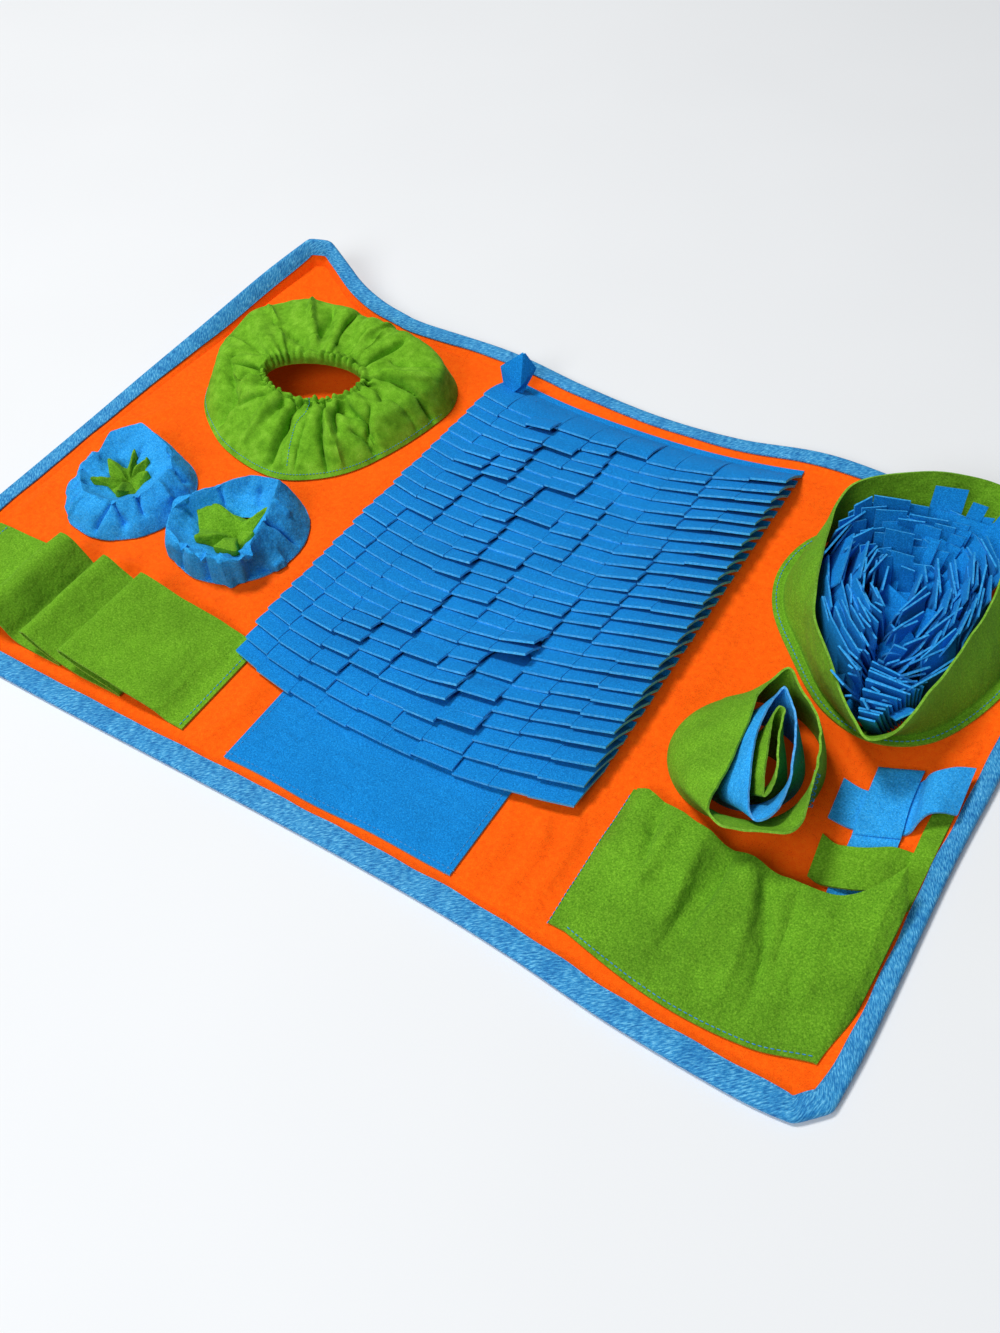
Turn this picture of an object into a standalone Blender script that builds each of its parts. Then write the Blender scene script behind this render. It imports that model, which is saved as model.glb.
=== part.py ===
"""Snuffle mat for a dog: an orange felt mat, 750 x 450 mm, edged with folded tape.

Treat-hiding pieces are sewn on: a field of cut fringe, a gathered pocket, two flower cups,
a pleated strip, a fringed pot, a nest of three rolls, a bellows pocket and a small weave.
X runs along the long side, Y to the back, Z up; the origin is the middle of the mat on the floor.
Sizes in this file are millimetres, turned to metres when a mesh is made.
"""
import math

import bpy
from mathutils import Vector

for old in list(bpy.data.objects):
    bpy.data.objects.remove(old)

MM = 0.001
BASE_FELT = 2.0      # the mat itself
FELT = 1.5           # what is sewn on it
TAPE = 1.0           # one layer of the binding tape
GAP = 0.35           # air between pieces that lie on each other
TAPE_AIR = 0.7      # air between the mat and each layer of the tape
FLAT_Z = BASE_FELT / 2                      # middle of the mat where it lies flat
EDGE_Z = TAPE + TAPE_AIR + BASE_FELT / 2    # middle of the mat inside its tape
SEWN_Z = BASE_FELT + GAP + FELT / 2         # middle of a felt that lies on the mat

ORANGE = (1.0, 0.16, 0.01)
GREEN = (0.15, 0.38, 0.03)
DEEP_BLUE = (0.01, 0.22, 0.66)
CUP_BLUE = (0.02, 0.24, 0.66)
TAPE_BLUE = (0.08, 0.40, 0.78)


# ---------------------------------------------------------------- helpers

def cloth_material(name, colour, roughness=0.9):
    mat = bpy.data.materials.get(name)
    if mat is None:
        mat = bpy.data.materials.new(name)
        mat.use_nodes = True
        shader = mat.node_tree.nodes["Principled BSDF"]
        shader.inputs["Base Color"].default_value = (*colour, 1.0)
        shader.inputs["Roughness"].default_value = roughness
        shader.inputs["Metallic"].default_value = 0.0
    return mat


def felt_object(name, points, faces, felt, material):
    """One cut of cloth: a middle surface in millimetres, given its thickness by Solidify."""
    mesh = bpy.data.meshes.new(name)
    mesh.from_pydata([Vector(p) * MM for p in points], [], faces)
    mesh.validate()
    mesh.shade_smooth()
    obj = bpy.data.objects.new(name, mesh)
    bpy.context.scene.collection.objects.link(obj)
    obj.data.materials.append(material)
    solid = obj.modifiers.new("felt", "SOLIDIFY")
    solid.thickness = felt * MM
    solid.offset = 0.0
    return obj


def grid_cloth(name, rows, felt, material, ring=False, lid=False):
    """Rows of points, each as long as the next; ring closes every row, lid fills the last one."""
    wide = len(rows[0])
    points = [p for row in rows for p in row]
    faces = []
    for r in range(len(rows) - 1):
        for c in range(wide if ring else wide - 1):
            d = (c + 1) % wide
            faces.append((r * wide + c, r * wide + d, (r + 1) * wide + d, (r + 1) * wide + c))
    if lid:
        faces.append(tuple((len(rows) - 1) * wide + c for c in range(wide)))
    return felt_object(name, points, faces, felt, material)


def smooth_line(rows, closed, steps=12):
    """Catmull-Rom through the rows of a table."""
    n = len(rows)

    def row(i):
        return rows[i % n] if closed else rows[min(max(i, 0), n - 1)]

    fine = []
    for s in range(n if closed else n - 1):
        quad = zip(row(s - 1), row(s), row(s + 1), row(s + 2))
        quad = list(quad)
        for k in range(steps):
            t = k / steps
            fine.append(tuple(
                0.5 * (2 * q + (r - p) * t + (2 * p - 5 * q + 4 * r - w) * t * t
                       + (3 * q - p - 3 * r + w) * t ** 3)
                for p, q, r, w in quad))
    fine.append(fine[0] if closed else tuple(float(v) for v in rows[-1]))
    return fine


def stations(rows, count, corner=0.0):
    """Points round a closed table, closer together where it bends; each with its share of the way round.

    corner is the extra length in mm that a full turn of the line counts for.
    """
    fine = smooth_line(rows, True)
    n = len(fine) - 1
    run, plan = [0.0], [0.0]
    for j in range(n):
        p, q, r = fine[j], fine[j + 1], fine[(j + 2) % n if j + 2 > n else j + 2]
        step = math.dist(p[:2], q[:2])
        turn = abs(turn_gap(math.degrees(math.atan2(r[1] - q[1], r[0] - q[0])),
                            math.degrees(math.atan2(q[1] - p[1], q[0] - p[0]))))
        run.append(run[-1] + step + corner * turn / 360.0)
        plan.append(plan[-1] + step)
    out = []
    j = 0
    for i in range(count):
        want = run[-1] * i / count
        while run[j + 1] < want:
            j += 1
        share = (want - run[j]) / max(run[j + 1] - run[j], 1e-9)
        point = tuple(p + (q - p) * share for p, q in zip(fine[j], fine[j + 1]))
        out.append((point, (plan[j] + (plan[j + 1] - plan[j]) * share) / plan[-1]))
    return out


def heading_of(centre, point):
    return math.degrees(math.atan2(point[1] - centre[1], point[0] - centre[0]))


def at_headings(centre, table, headings):
    """The closed line of a table, read at headings about a centre."""
    fine = smooth_line(table, True)[:-1]
    known = [heading_of(centre, p) for p in fine]
    out = []
    for want in headings:
        a = min(range(len(fine)), key=lambda j: abs(turn_gap(known[j], want)))
        off = turn_gap(want, known[a])
        for b in ((a + 1) % len(fine), a - 1):
            span = turn_gap(known[b], known[a])
            if span * off > 0:
                share = min(off / span, 1.0)
                out.append(tuple(p + (q - p) * share for p, q in zip(fine[a], fine[b])))
                break
        else:
            out.append(fine[a])
    return out


def bump(at, centre, width):
    return math.exp(-((at - centre) / width) ** 2)


def turn_gap(a, b):
    """Smallest angle between two headings in degrees."""
    return (a - b + 180.0) % 360.0 - 180.0


# ---------------------------------------------------------------- mat and its tape

# The outline as it lies, counter-clockwise from the front left corner.
# The sewn field draws the back edge in, and the back left corner curls up and inwards.
# lift is how far the edge stands up, drop how much lower the tape's inner side is,
# and a row with sharp 1 is an end of the short cut across a corner.
EDGE_COLUMNS = ("x", "y", "lift", "drop", "tape", "sharp")
EDGE = (
    (-368, -212, 0, 0, 15, 1),
    (-355, -225, 0, 0, 15, 1),
    (-200, -226, 0, 0, 15, 0),
    (0, -224.5, 0, 0, 15, 0),
    (110, -225.5, 0, 0, 15, 0),
    (180, -229, 0, 0, 15, 0),
    (250, -236, 0.3, 0, 15, 0),
    (325, -238.5, 0, 0, 15, 0),
    (357, -236, 0, 0, 13.5, 1),
    (371.5, -221, 0.2, 0, 13, 1),
    (373, -190, 0.6, 0, 11, 0),
    (373, -150, 1.0, 0.6, 10.5, 0),
    (372, -60, 1.0, 0.6, 10.5, 0),
    (374, 20, 1.0, 0.6, 11, 0),
    (374, 110, 0.2, 0, 13, 0),
    (374, 212, 0, 0, 13, 1),
    (361, 225, 0, 0, 13, 1),
    (260, 228, 0.6, 0, 13, 0),
    (175, 230.5, 3.5, 2.5, 13, 0),
    (105, 219, 0.6, 0.4, 13, 0),
    (40, 216, 0, 0, 12.5, 0),
    (-30, 222, 0.6, 0.4, 13, 0),
    (-105, 232, 2.6, 2.0, 13, 0),
    (-190, 231, 4.6, 3.6, 13, 0),
    (-212, 232.5, 6.6, 4.5, 13, 0),
    (-234, 235.5, 9.2, 5.4, 13, 0),
    (-254, 240, 13.5, 6.4, 13, 0),
    (-269, 245, 18.0, 7.4, 13, 0),
    (-281, 250, 23.0, 8.4, 13, 0),
    (-294, 255, 29.0, 9.7, 13, 0),
    (-309, 260.5, 36.0, 11.0, 13.5, 1),
    (-327, 254, 37.0, 11.5, 14, 1),
    (-346, 212, 23.5, 11.0, 15, 0),
    (-358, 150, 12.5, 8.5, 15, 0),
    (-367, 70, 3.5, 3.0, 15, 0),
    (-369, -20, 0, 0, 15, 0),
)
EDGE_STEP = 48.0     # longest way between two stations
RIM_INSET = 1.4      # the mat ends this far short of the tape's fold
TAPE_SEAM = 1.0      # the mat stays in the tape's plane this far past it
TAPE_STEP = 4.0      # and is down on the floor this much further in
FLOOR_INSET = 36.0   # from here in it lies flat, also at the curled corner
STEP_EASE = 0.85     # share of the curl left at the inner side of the step
HALF_MAT = (375.0, 225.0)


def edge_stations():
    """The rows of EDGE with stations between them on a smooth line that breaks at the corners."""
    out = []
    n = len(EDGE)
    for i in range(n):
        b, c = EDGE[i], EDGE[(i + 1) % n]
        a = b if b[5] else EDGE[i - 1]
        d = c if c[5] else EDGE[(i + 2) % n]
        count = 1 if b[5] and c[5] else max(1, math.ceil(math.dist(b[:2], c[:2]) / EDGE_STEP))
        for k in range(count):
            t = k / count
            out.append([0.5 * (2 * q + (r - p) * t + (2 * p - 5 * q + 4 * r - w) * t * t
                               + (3 * q - p - 3 * r + w) * t ** 3)
                        for p, q, r, w in zip(a[:5], b[:5], c[:5], d[:5])])
    return out


def edge_frames():
    """For each station: edge point, mitred way in along the cloth, upward normal, tape width."""
    ring = edge_stations()
    n = len(ring)
    frames = []
    for i, (x, y, lift, drop, tape) in enumerate(ring):
        before, after = ring[i - 1], ring[(i + 1) % n]
        ahead = Vector((after[0] - x, after[1] - y, 0)).normalized()
        behind = Vector((x - before[0], y - before[1], 0)).normalized()
        normals = [Vector((-t.y, t.x, 0)) for t in (behind, ahead)]
        mitre = (normals[0] + normals[1]) / (1 + normals[0].dot(normals[1]))
        steep = drop / tape
        inward = mitre * math.sqrt(1 - steep ** 2) - Vector((0, 0, steep))
        along = Vector((after[0] - before[0], after[1] - before[1], after[2] - before[2])).normalized()
        up = along.cross(inward).normalized()
        frames.append((Vector((x, y, EDGE_Z + lift)), inward, up, tape))
    return frames


FRAMES = edge_frames()


def rise_at(x, y):
    """How much higher than in the middle the mat's surface is at a place near its tape."""
    point, inward, up, tape = min(FRAMES, key=lambda f: (f[0].x - x) ** 2 + (f[0].y - y) ** 2)
    plan_in = Vector((inward.x, inward.y, 0.0)).normalized()
    depth = (Vector((x, y, 0.0)) - Vector((point.x, point.y, 0.0))).dot(plan_in)
    past = depth - tape - TAPE_SEAM
    return (EDGE_Z - FLAT_Z + 0.3) * min(max(1.0 - past / TAPE_STEP, 0.0), 1.0)


def make_mat():
    rim, seam, step, floor = [], [], [], []
    for point, inward, up, tape in FRAMES:
        rim.append(point + inward * (TAPE + RIM_INSET))
        seam.append(point + inward * (tape + TAPE_SEAM))
        inner = point + inward * (tape + TAPE_SEAM + TAPE_STEP)
        rise = max(inner.z - EDGE_Z, 0.0) * STEP_EASE
        step.append(Vector((inner.x, inner.y, FLAT_Z + rise)))
        floor.append(Vector((point.x * (1 - FLOOR_INSET / HALF_MAT[0]),
                             point.y * (1 - FLOOR_INSET / HALF_MAT[1]), FLAT_Z)))
    grid_cloth("mat_base", [rim, seam, step, floor], BASE_FELT,
               cloth_material("orange felt", ORANGE), ring=True, lid=True)

    half = BASE_FELT / 2 + TAPE_AIR + TAPE / 2
    bend = TAPE + 1.0                 # where the fold of the tape meets its flat sides
    rows = [[], [], [], [], [], []]
    for point, inward, up, tape in FRAMES:
        fold = point + inward * (TAPE / 2)
        rows[0].append(point + inward * tape - up * half)
        rows[1].append(point + inward * bend - up * half)
        rows[2].append(fold - up * half * 0.5)
        rows[3].append(fold + up * half * 0.5)
        rows[4].append(point + inward * bend + up * half)
        rows[5].append(point + inward * tape + up * half)
    grid_cloth("binding", rows, TAPE, cloth_material("light blue tape", TAPE_BLUE, 0.5), ring=True)


# ---------------------------------------------------------------- fringe field

FIELD_ROWS = 26
FIELD_PITCH = 11.95       # from one row's seam to the next
FIELD_BACK = 194.0        # back edge of the last row's heading, at the field's middle
FIELD_X = (-93.0, 165.0)  # ends of a row half way up the field
FIELD_SPREAD = 6.0        # the rows grow longer to the front by this at each end
FIELD_BOW = 15.0          # the ends of a row lie this much further back
HEADING = 5.5             # sewn part of a comb
TAB = 37.0                # cut part of a comb
TABS = 8
SLIT = 0.9                # width of a cut
STACK_ANGLE = 25.0        # slope of a tab where four layers lie on each other
FRONT_ANGLES = (9.0, 18.0, 21.0, 23.5)   # slopes of the front rows, which lie on fewer layers
TAB_SHARES = (0.12, 0.13, 0.12, 0.13, 0.12, 0.13, 0.12, 0.13)


def field_bow(x):
    reach = abs(x - 33.0) / 130.0
    return FIELD_BOW * min(reach, 1.15) ** 2.4


def wobble(seed, size):
    """A repeatable small number between -size and size."""
    return size * math.sin(seed * 12.9898 + 4.1414) * math.cos(seed * 7.233)


def make_fringe_row(index):
    """index 0 is the front row; its tabs point to the front and rise to their free ends."""
    name = f"fringe_row_{index + 1:02d}"
    share = index / (FIELD_ROWS - 1)
    heading_back = FIELD_BACK - (FIELD_ROWS - 1 - index) * FIELD_PITCH
    root = heading_back - HEADING
    spread = FIELD_SPREAD * (0.5 - share)
    x0 = FIELD_X[0] - spread
    x1 = FIELD_X[1] + spread
    angle = FRONT_ANGLES[index] if index < len(FRONT_ANGLES) else STACK_ANGLE
    cuts = [x0]
    for k in range(TABS):
        shift = 0.0 if k == TABS - 1 else wobble(index * 3 + k, 2.0)
        cuts.append(x0 + (x1 - x0) * sum(TAB_SHARES[:k + 1]) + shift)

    points, faces = [], []
    for k in range(TABS):
        left = cuts[k] + (SLIT / 2 if k else 0.0)
        right = cuts[k + 1] - (SLIT / 2 if k < TABS - 1 else 0.0)
        slope = math.radians(angle + wobble(index * 17 + k * 5, 0.9))
        length = TAB + wobble(index * 7 + k * 11, 1.6)
        for x in (left, right):
            bow = field_bow(x)
            points.append((x, heading_back + bow, SEWN_Z))
            points.append((x, root + bow, SEWN_Z))
            points.append((x, root + bow - length * math.cos(slope), SEWN_Z + length * math.sin(slope)))
        a = k * 6
        faces.append((a, a + 1, a + 4, a + 3))
        faces.append((a + 1, a + 2, a + 5, a + 4))
        if k:
            faces.append((a - 3, a - 2, a + 1, a))
    felt_object(name, points, faces, FELT, cloth_material("deep blue fleece", DEEP_BLUE))


# ---------------------------------------------------------------- flat patch

PATCH_X = (-47.0, 127.0)
PATCH_Y = (-203.0, -124.5)


def make_patch():
    rows = []
    for y in (PATCH_Y[0], PATCH_Y[1]):
        rows.append([(PATCH_X[0], y, SEWN_Z), (PATCH_X[1], y, SEWN_Z)])
    grid_cloth("front_patch", rows, FELT, cloth_material("deep blue fleece", DEEP_BLUE))


# ---------------------------------------------------------------- gathered pocket

POCKET_CENTRE = (-213.0, 112.0)
POCKET_SEAM = (
    (-113, 127), (-112, 155), (-127, 180), (-155, 196), (-190, 203), (-230, 203), (-264, 196),
    (-292, 179), (-311, 152), (-316, 112), (-300, 69), (-262, 38), (-225, 24), (-187, 21),
    (-160, 33), (-138, 55), (-123, 88),
)
POCKET_CREST = (
    (-124, 122, 33), (-117, 154, 36), (-132, 172, 38), (-155, 180, 40), (-191, 185, 41),
    (-236, 189, 41), (-268, 187, 40), (-291, 177, 38), (-307, 158, 37), (-312, 132, 36),
    (-306, 102, 34), (-289, 78, 33), (-262, 64, 33), (-225, 55, 34), (-186, 54, 34),
    (-155, 66, 33), (-138, 84, 32), (-129, 103, 32),
)
HOLE_CENTRE = (-208.0, 105.0)
HOLE_RADII = (42.0, 22.0)
HOLE_TURN = 14.0                     # degrees that the hole is turned
HOLE_Z = (37.0, 29.0)                # the gathered edge and the cuff under it
POCKET_AROUND = 40
POCKET_BELLY = 4.0                   # the wall stands out this far half way up
# Creases that run from the hole outwards: heading in degrees, depth, width in degrees.
POCKET_CREASES = (
    (8, 5, 8), (40, 4, 8), (68, 7, 8), (92, 7, 7), (118, 5, 9), (143, 4, 8),
    (172, 5, 10), (212, 7, 10), (248, 4, 8), (265, 8, 6), (292, 5, 8), (334, 6, 8),
)


def make_gathered_pocket():
    headings = [360.0 * i / POCKET_AROUND for i in range(POCKET_AROUND)]
    seams = at_headings(POCKET_CENTRE, POCKET_SEAM, headings)
    crests = at_headings(POCKET_CENTRE, POCKET_CREST, headings)
    turn = math.radians(HOLE_TURN)
    rows = [[], [], [], [], [], []]
    for heading, seam, crest in zip(headings, seams, crests):
        a = math.radians(heading)
        foot = Vector((seam[0], seam[1], SEWN_Z))
        top = Vector(crest)
        hx = HOLE_RADII[0] * math.cos(a - turn)
        hy = HOLE_RADII[1] * math.sin(a - turn)
        hole = Vector((HOLE_CENTRE[0] + hx * math.cos(turn) - hy * math.sin(turn),
                       HOLE_CENTRE[1] + hx * math.sin(turn) + hy * math.cos(turn), HOLE_Z[0]))
        crease = sum(depth * bump(turn_gap(heading, at), 0.0, width)
                     for at, depth, width in POCKET_CREASES)
        belly = foot.lerp(top, 0.4) + Vector((math.cos(a), math.sin(a), 0.0)) * POCKET_BELLY
        shelf = top.lerp(hole, 0.5) + Vector((0, 0, 2.0 - crease))
        rows[0].append(foot)
        rows[1].append(belly)
        rows[2].append(top - Vector((0, 0, crease * 0.7)))
        rows[3].append(shelf)
        rows[4].append(hole)
        rows[5].append(Vector((hole.x, hole.y, HOLE_Z[1])))
    grid_cloth("gathered_pocket", rows, FELT, cloth_material("green felt", GREEN), ring=True)


# ---------------------------------------------------------------- flower cups

# Each cup: seam circle, ridge corners of its raised mouth, edge of the turned-in mouth.
CUPS = {
    "cup_left": {
        "seam": (-275.0, -45.0, 50.0),
        "ridge": ((-247, -22, 25), (-262, -8, 27), (-297, 1, 30), (-313, -18, 29), (-310, -36, 24),
                  (-315, -53, 22), (-290, -74, 23), (-258, -72, 25), (-243, -52, 26)),
        "mouth": ((-262, -34, 24), (-276, -25, 25), (-299, -28, 23), (-296, -44, 21), (-290, -54, 20),
                  (-272, -61, 21), (-260, -52, 22)),
    },
    "cup_right": {
        "seam": (-171.0, -39.0, 51.0),
        "ridge": ((-141, -34, 32), (-153, -5, 35), (-176, -11, 35), (-211, -54, 32), (-203, -76, 24),
                  (-168, -88, 28), (-130, -79, 30)),
        "mouth": ((-146, -42, 27), (-157, -22, 29), (-176, -27, 27), (-203, -50, 25), (-190, -66, 23),
                  (-166, -72, 23), (-142, -68, 25)),
    },
}
CUP_AROUND = 28
CUP_CORNER = 120.0     # stations gather at the corners of a cup's mouth by this much


def make_cup(name):
    cup = CUPS[name]
    cx, cy, radius = cup["seam"]
    ridge = [point for point, _ in stations(cup["ridge"], CUP_AROUND, CUP_CORNER)]
    headings = [heading_of((cx, cy), p) for p in ridge]
    mouth = at_headings((cx, cy), cup["mouth"], headings)
    rows = [[], [], [], []]
    for heading, high, edge in zip(headings, ridge, mouth):
        a = math.radians(heading)
        foot = Vector((cx + radius * math.cos(a), cy + radius * math.sin(a), SEWN_Z))
        top = Vector(high)
        rows[0].append(foot)
        rows[1].append(foot.lerp(top, 0.45) + Vector((0, 0, 3.0)))
        rows[2].append(top)
        rows[3].append(Vector(edge))
    grid_cloth(name, rows, FELT, cloth_material("cup blue felt", CUP_BLUE), ring=True)


# The green heart of a cup is a small cap sewn inside it: its foot, its lobes, its pit.
HEARTS = {
    "cup_left_heart": {
        "foot": (-275.0, -45.0, 24.0),
        "lobes": ((-264, -40, 15), (-277, -34, 15), (-291, -36, 15), (-288, -50, 14), (-272, -56, 14)),
        "pit": (-277.0, -45.0, 12.0),
    },
    "cup_right_heart": {
        "foot": (-168.0, -48.0, 25.0),
        "lobes": ((-154, -44, 17), (-160, -32, 17), (-176, -40, 15), (-194, -50, 16), (-178, -60, 14),
                  (-166, -64, 15), (-151, -62, 16)),
        "pit": (-165.0, -49.0, 7.0),
    },
}
HEART_AROUND = 16


def make_heart(name):
    heart = HEARTS[name]
    cx, cy, radius = heart["foot"]
    headings = [360.0 * i / HEART_AROUND for i in range(HEART_AROUND)]
    lobes = at_headings((cx, cy), heart["lobes"], headings)
    pit = Vector(heart["pit"])
    rows = [[], [], [], []]
    for heading, lobe in zip(headings, lobes):
        a = math.radians(heading)
        low = Vector((cx + radius * math.cos(a), cy + radius * math.sin(a), SEWN_Z))
        high = Vector(lobe)
        side = low.lerp(high, 0.35)
        rows[0].append(low)
        rows[1].append(Vector((side.x, side.y, 9.0)))
        rows[2].append(high)
        rows[3].append(high.lerp(pit, 0.7))
    grid_cloth(name, rows, FELT, cloth_material("green felt", GREEN), ring=True, lid=True)


# ---------------------------------------------------------------- pleated strip

STRIP_Y = (-199.0, -117.0)
# The strip's own edge line in x and z, from its right end to its left end.
# It is sewn down at the low turns, and each loop flops over to the left.
STRIP_SECTION = (
    (-86, SEWN_Z), (-97, SEWN_Z), (-118, 7.5), (-150, 14.5), (-178, 21.0), (-188, 23.2), (-191.5, 22.4),
    (-191, 19.6), (-186, 17.0), (-165, 9.6), (-148, 5.6),
    (-143, 4.6), (-144, SEWN_Z), (-152, SEWN_Z),
    (-178, SEWN_Z), (-196, 6.4), (-212, 15.2), (-223, 22.6), (-227.5, 22.6), (-227.5, 19.6), (-221, 14.4),
    (-206, 6.8), (-200, 4.9), (-199.5, SEWN_Z), (-206, SEWN_Z),
)
STRIP_LAST = (
    (-232, SEWN_Z), (-243, 6.0), (-249, 14.0), (-257, 24.0), (-263, 27.6), (-269, 26.6), (-271, 21.0),
    (-270, 12.0), (-272, 5.0), (-278, SEWN_Z), (-310, SEWN_Z), (-344, SEWN_Z),
)


def make_pleated_strip():
    section = STRIP_SECTION + STRIP_LAST
    rows = [[(x, y, z) for x, z in section] for y in STRIP_Y]
    grid_cloth("pleated_strip", rows, FELT, cloth_material("green felt", GREEN))


# ---------------------------------------------------------------- pot

# The pot is a tube of felt, 52 mm tall, sewn down round and squeezed long at its rim.
POT_FOOT = (
    (356, 100), (350, 60), (330, 20), (298, 3), (262, 12), (228, 42), (199, 76), (188, 112),
    (196, 150), (225, 178), (268, 186), (315, 180), (345, 145),
)
POT_RIM = (
    (305, -30), (316, -13), (322, 23), (327, 68), (328, 112), (321, 165), (305, 205), (270, 205),
    (232, 188), (211, 160), (220, 100), (238, 46), (271, 4), (291, -20),
)
POT_HEIGHT = 47.0
POT_AROUND = 40
POT_CORNER = 260.0       # stations gather at the corners of the rim by this much
POT_FLANGE = 8.0
POT_AXIS_FOOT = (270.0, 92.0)
POT_AXIS_RIM = (272.0, 94.0)
POT_RINGS = (0.86, 0.72, 0.58, 0.44, 0.30)   # size of each ring of fringe against the wall
POT_RING_TABS = (20, 17, 14, 11, 8)
POT_TAB_TOP = 0.84                       # the tabs end this share of the way up the wall
POT_HEADING = 6.0
POT_REACH = 85.0                         # from the pot's middle to its wall, about
POT_TIP = (305.0, -30.0)                 # no tab stands in the rim's narrow tip,
TIP_CLEAR = 0.02                         # nor this share of the way round beside it


def pot_rings():
    """The rim and, at the same headings, the foot of the wall."""
    rim = [point for point, _ in stations(POT_RIM, POT_AROUND, POT_CORNER)]
    headings = [heading_of(POT_AXIS_RIM, p) for p in rim]
    return at_headings(POT_AXIS_FOOT, POT_FOOT, headings), rim


def pot_point(foot, rim, turn, size, up):
    """A point on the wall or on a smaller copy of it: turn in 0..1 round, up in 0..1 to the rim."""
    at = turn * len(foot)
    i = int(at) % len(foot)
    j = (i + 1) % len(foot)
    share = at - int(at)
    fx = foot[i][0] + (foot[j][0] - foot[i][0]) * share
    fy = foot[i][1] + (foot[j][1] - foot[i][1]) * share
    rx = rim[i][0] + (rim[j][0] - rim[i][0]) * share
    ry = rim[i][1] + (rim[j][1] - rim[i][1]) * share
    ax = POT_AXIS_FOOT[0] + (POT_AXIS_RIM[0] - POT_AXIS_FOOT[0]) * up
    ay = POT_AXIS_FOOT[1] + (POT_AXIS_RIM[1] - POT_AXIS_FOOT[1]) * up
    wx = fx + (rx - fx) * up
    wy = fy + (ry - fy) * up
    return Vector((ax + (wx - ax) * size, ay + (wy - ay) * size,
                   SEWN_Z + (POT_HEIGHT - SEWN_Z) * up))


def make_pot():
    foot, rim = pot_rings()
    rows = []
    flange = []
    for i in range(POT_AROUND):
        p = pot_point(foot, rim, i / POT_AROUND, 1.0, 0.0)
        out = Vector((p.x - POT_AXIS_FOOT[0], p.y - POT_AXIS_FOOT[1], 0)).normalized()
        flange.append(p)
        rows.append(p - out * POT_FLANGE)
    levels = [[], [], []]
    for i in range(POT_AROUND):
        wall_foot = rows[i]
        for k, up in enumerate((0.32, 0.68, 1.0)):
            q = pot_point(foot, rim, i / POT_AROUND, 1.0, up)
            lean = (wall_foot - flange[i]) * (1.0 - up)
            levels[k].append(q + lean)
    grid_cloth("pot_wall", [flange, rows] + levels, FELT, cloth_material("green felt", GREEN), ring=True)

    for n, (size, tabs) in enumerate(zip(POT_RINGS, POT_RING_TABS)):
        make_pot_fringe(f"pot_fringe_{n + 1}", foot, rim, size, tabs, n)


def make_pot_fringe(name, foot, rim, size, tabs, n):
    """A closed comb: a flat ring on the floor with tabs that stand up along the wall."""
    points, faces = [], []
    shrink = (POT_FLANGE - 1.0) / POT_REACH
    reach = size - shrink
    width = POT_HEADING / POT_REACH
    tip = min(range(len(rim)), key=lambda i: math.dist(rim[i][:2], POT_TIP)) / len(rim)
    edges = []
    for k in range(tabs):
        past_tip = ((k + 0.5) / tabs + 0.03 * n - tip + 0.5) % 1.0 - 0.5
        top = POT_TAB_TOP + wobble(n * 9 + k * 3, 0.08)
        for edge in (0.06, 0.94):
            turn = ((k + edge) / tabs + 0.03 * n) % 1.0
            line = [pot_point(foot, rim, turn, reach - width, 0.0), pot_point(foot, rim, turn, reach, 0.0)]
            if abs(past_tip) > 0.5 / tabs + TIP_CLEAR:
                line.append(pot_point(foot, rim, turn, size - shrink * (1 - top), top))
            edges.append(range(len(points), len(points) + len(line)))
            points.extend(line)
    for k in range(tabs):
        left, right, after = edges[2 * k], edges[2 * k + 1], edges[(2 * k + 2) % len(edges)]
        faces.append((left[0], right[0], right[1], left[1]))
        if len(left) > 2:
            faces.append((left[1], right[1], right[2], left[2]))
        faces.append((right[0], after[0], after[1], right[1]))
    felt_object(name, points, faces, FELT, cloth_material("deep blue fleece", DEEP_BLUE))


# ---------------------------------------------------------------- nest of rolls

# Three tubes of felt, one in the other, that lean over to the front right.
ROLLS = {
    "roll_outer": {
        "foot": (239.0, -46.0, 47.0), "colour": GREEN, "finish": "green felt",
        "rim": ((242, -2, 46), (236, -24, 44), (238, -44, 42), (240, -61, 41), (242, -80, 40),
                (243, -98, 40), (246, -113, 41), (256, -120, 43), (266, -119, 45), (278, -115, 47),
                (291, -110, 48), (295, -98, 48), (290, -75, 48), (285, -50, 48), (274, -30, 47),
                (256, -13, 46)),
    },
    "roll_middle": {
        "foot": (242.0, -49.0, 33.0), "colour": CUP_BLUE, "finish": "cup blue felt",
        "rim": ((246, -15, 45), (245, -32, 45), (246, -50, 45), (251, -66, 45), (257, -82, 45),
                (262, -96, 44), (267, -105, 44), (274, -108, 45), (280, -100, 46), (280, -88, 46),
                (278, -76, 46), (272, -59, 46), (265, -41, 46), (257, -26, 45)),
    },
    "roll_inner": {
        "foot": (248.0, -56.0, 20.0), "colour": GREEN, "finish": "green felt",
        "rim": ((248.5, -29.5, 44), (248.5, -37, 44), (251.5, -49, 44), (258, -66, 44), (264, -82, 44),
                (269, -91, 44), (273, -84, 44), (269, -70, 44), (261.5, -50, 44), (257, -37, 44), (254, -29.5, 44)),
    },
}
ROLL_AROUND = 24
ROLL_CORNER = 80.0
ROLL_UPRIGHT = 0.35      # a wall leans out slower than it rises
ROLL_LEVELS = (0.0, 0.3, 0.65, 1.0)


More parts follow.
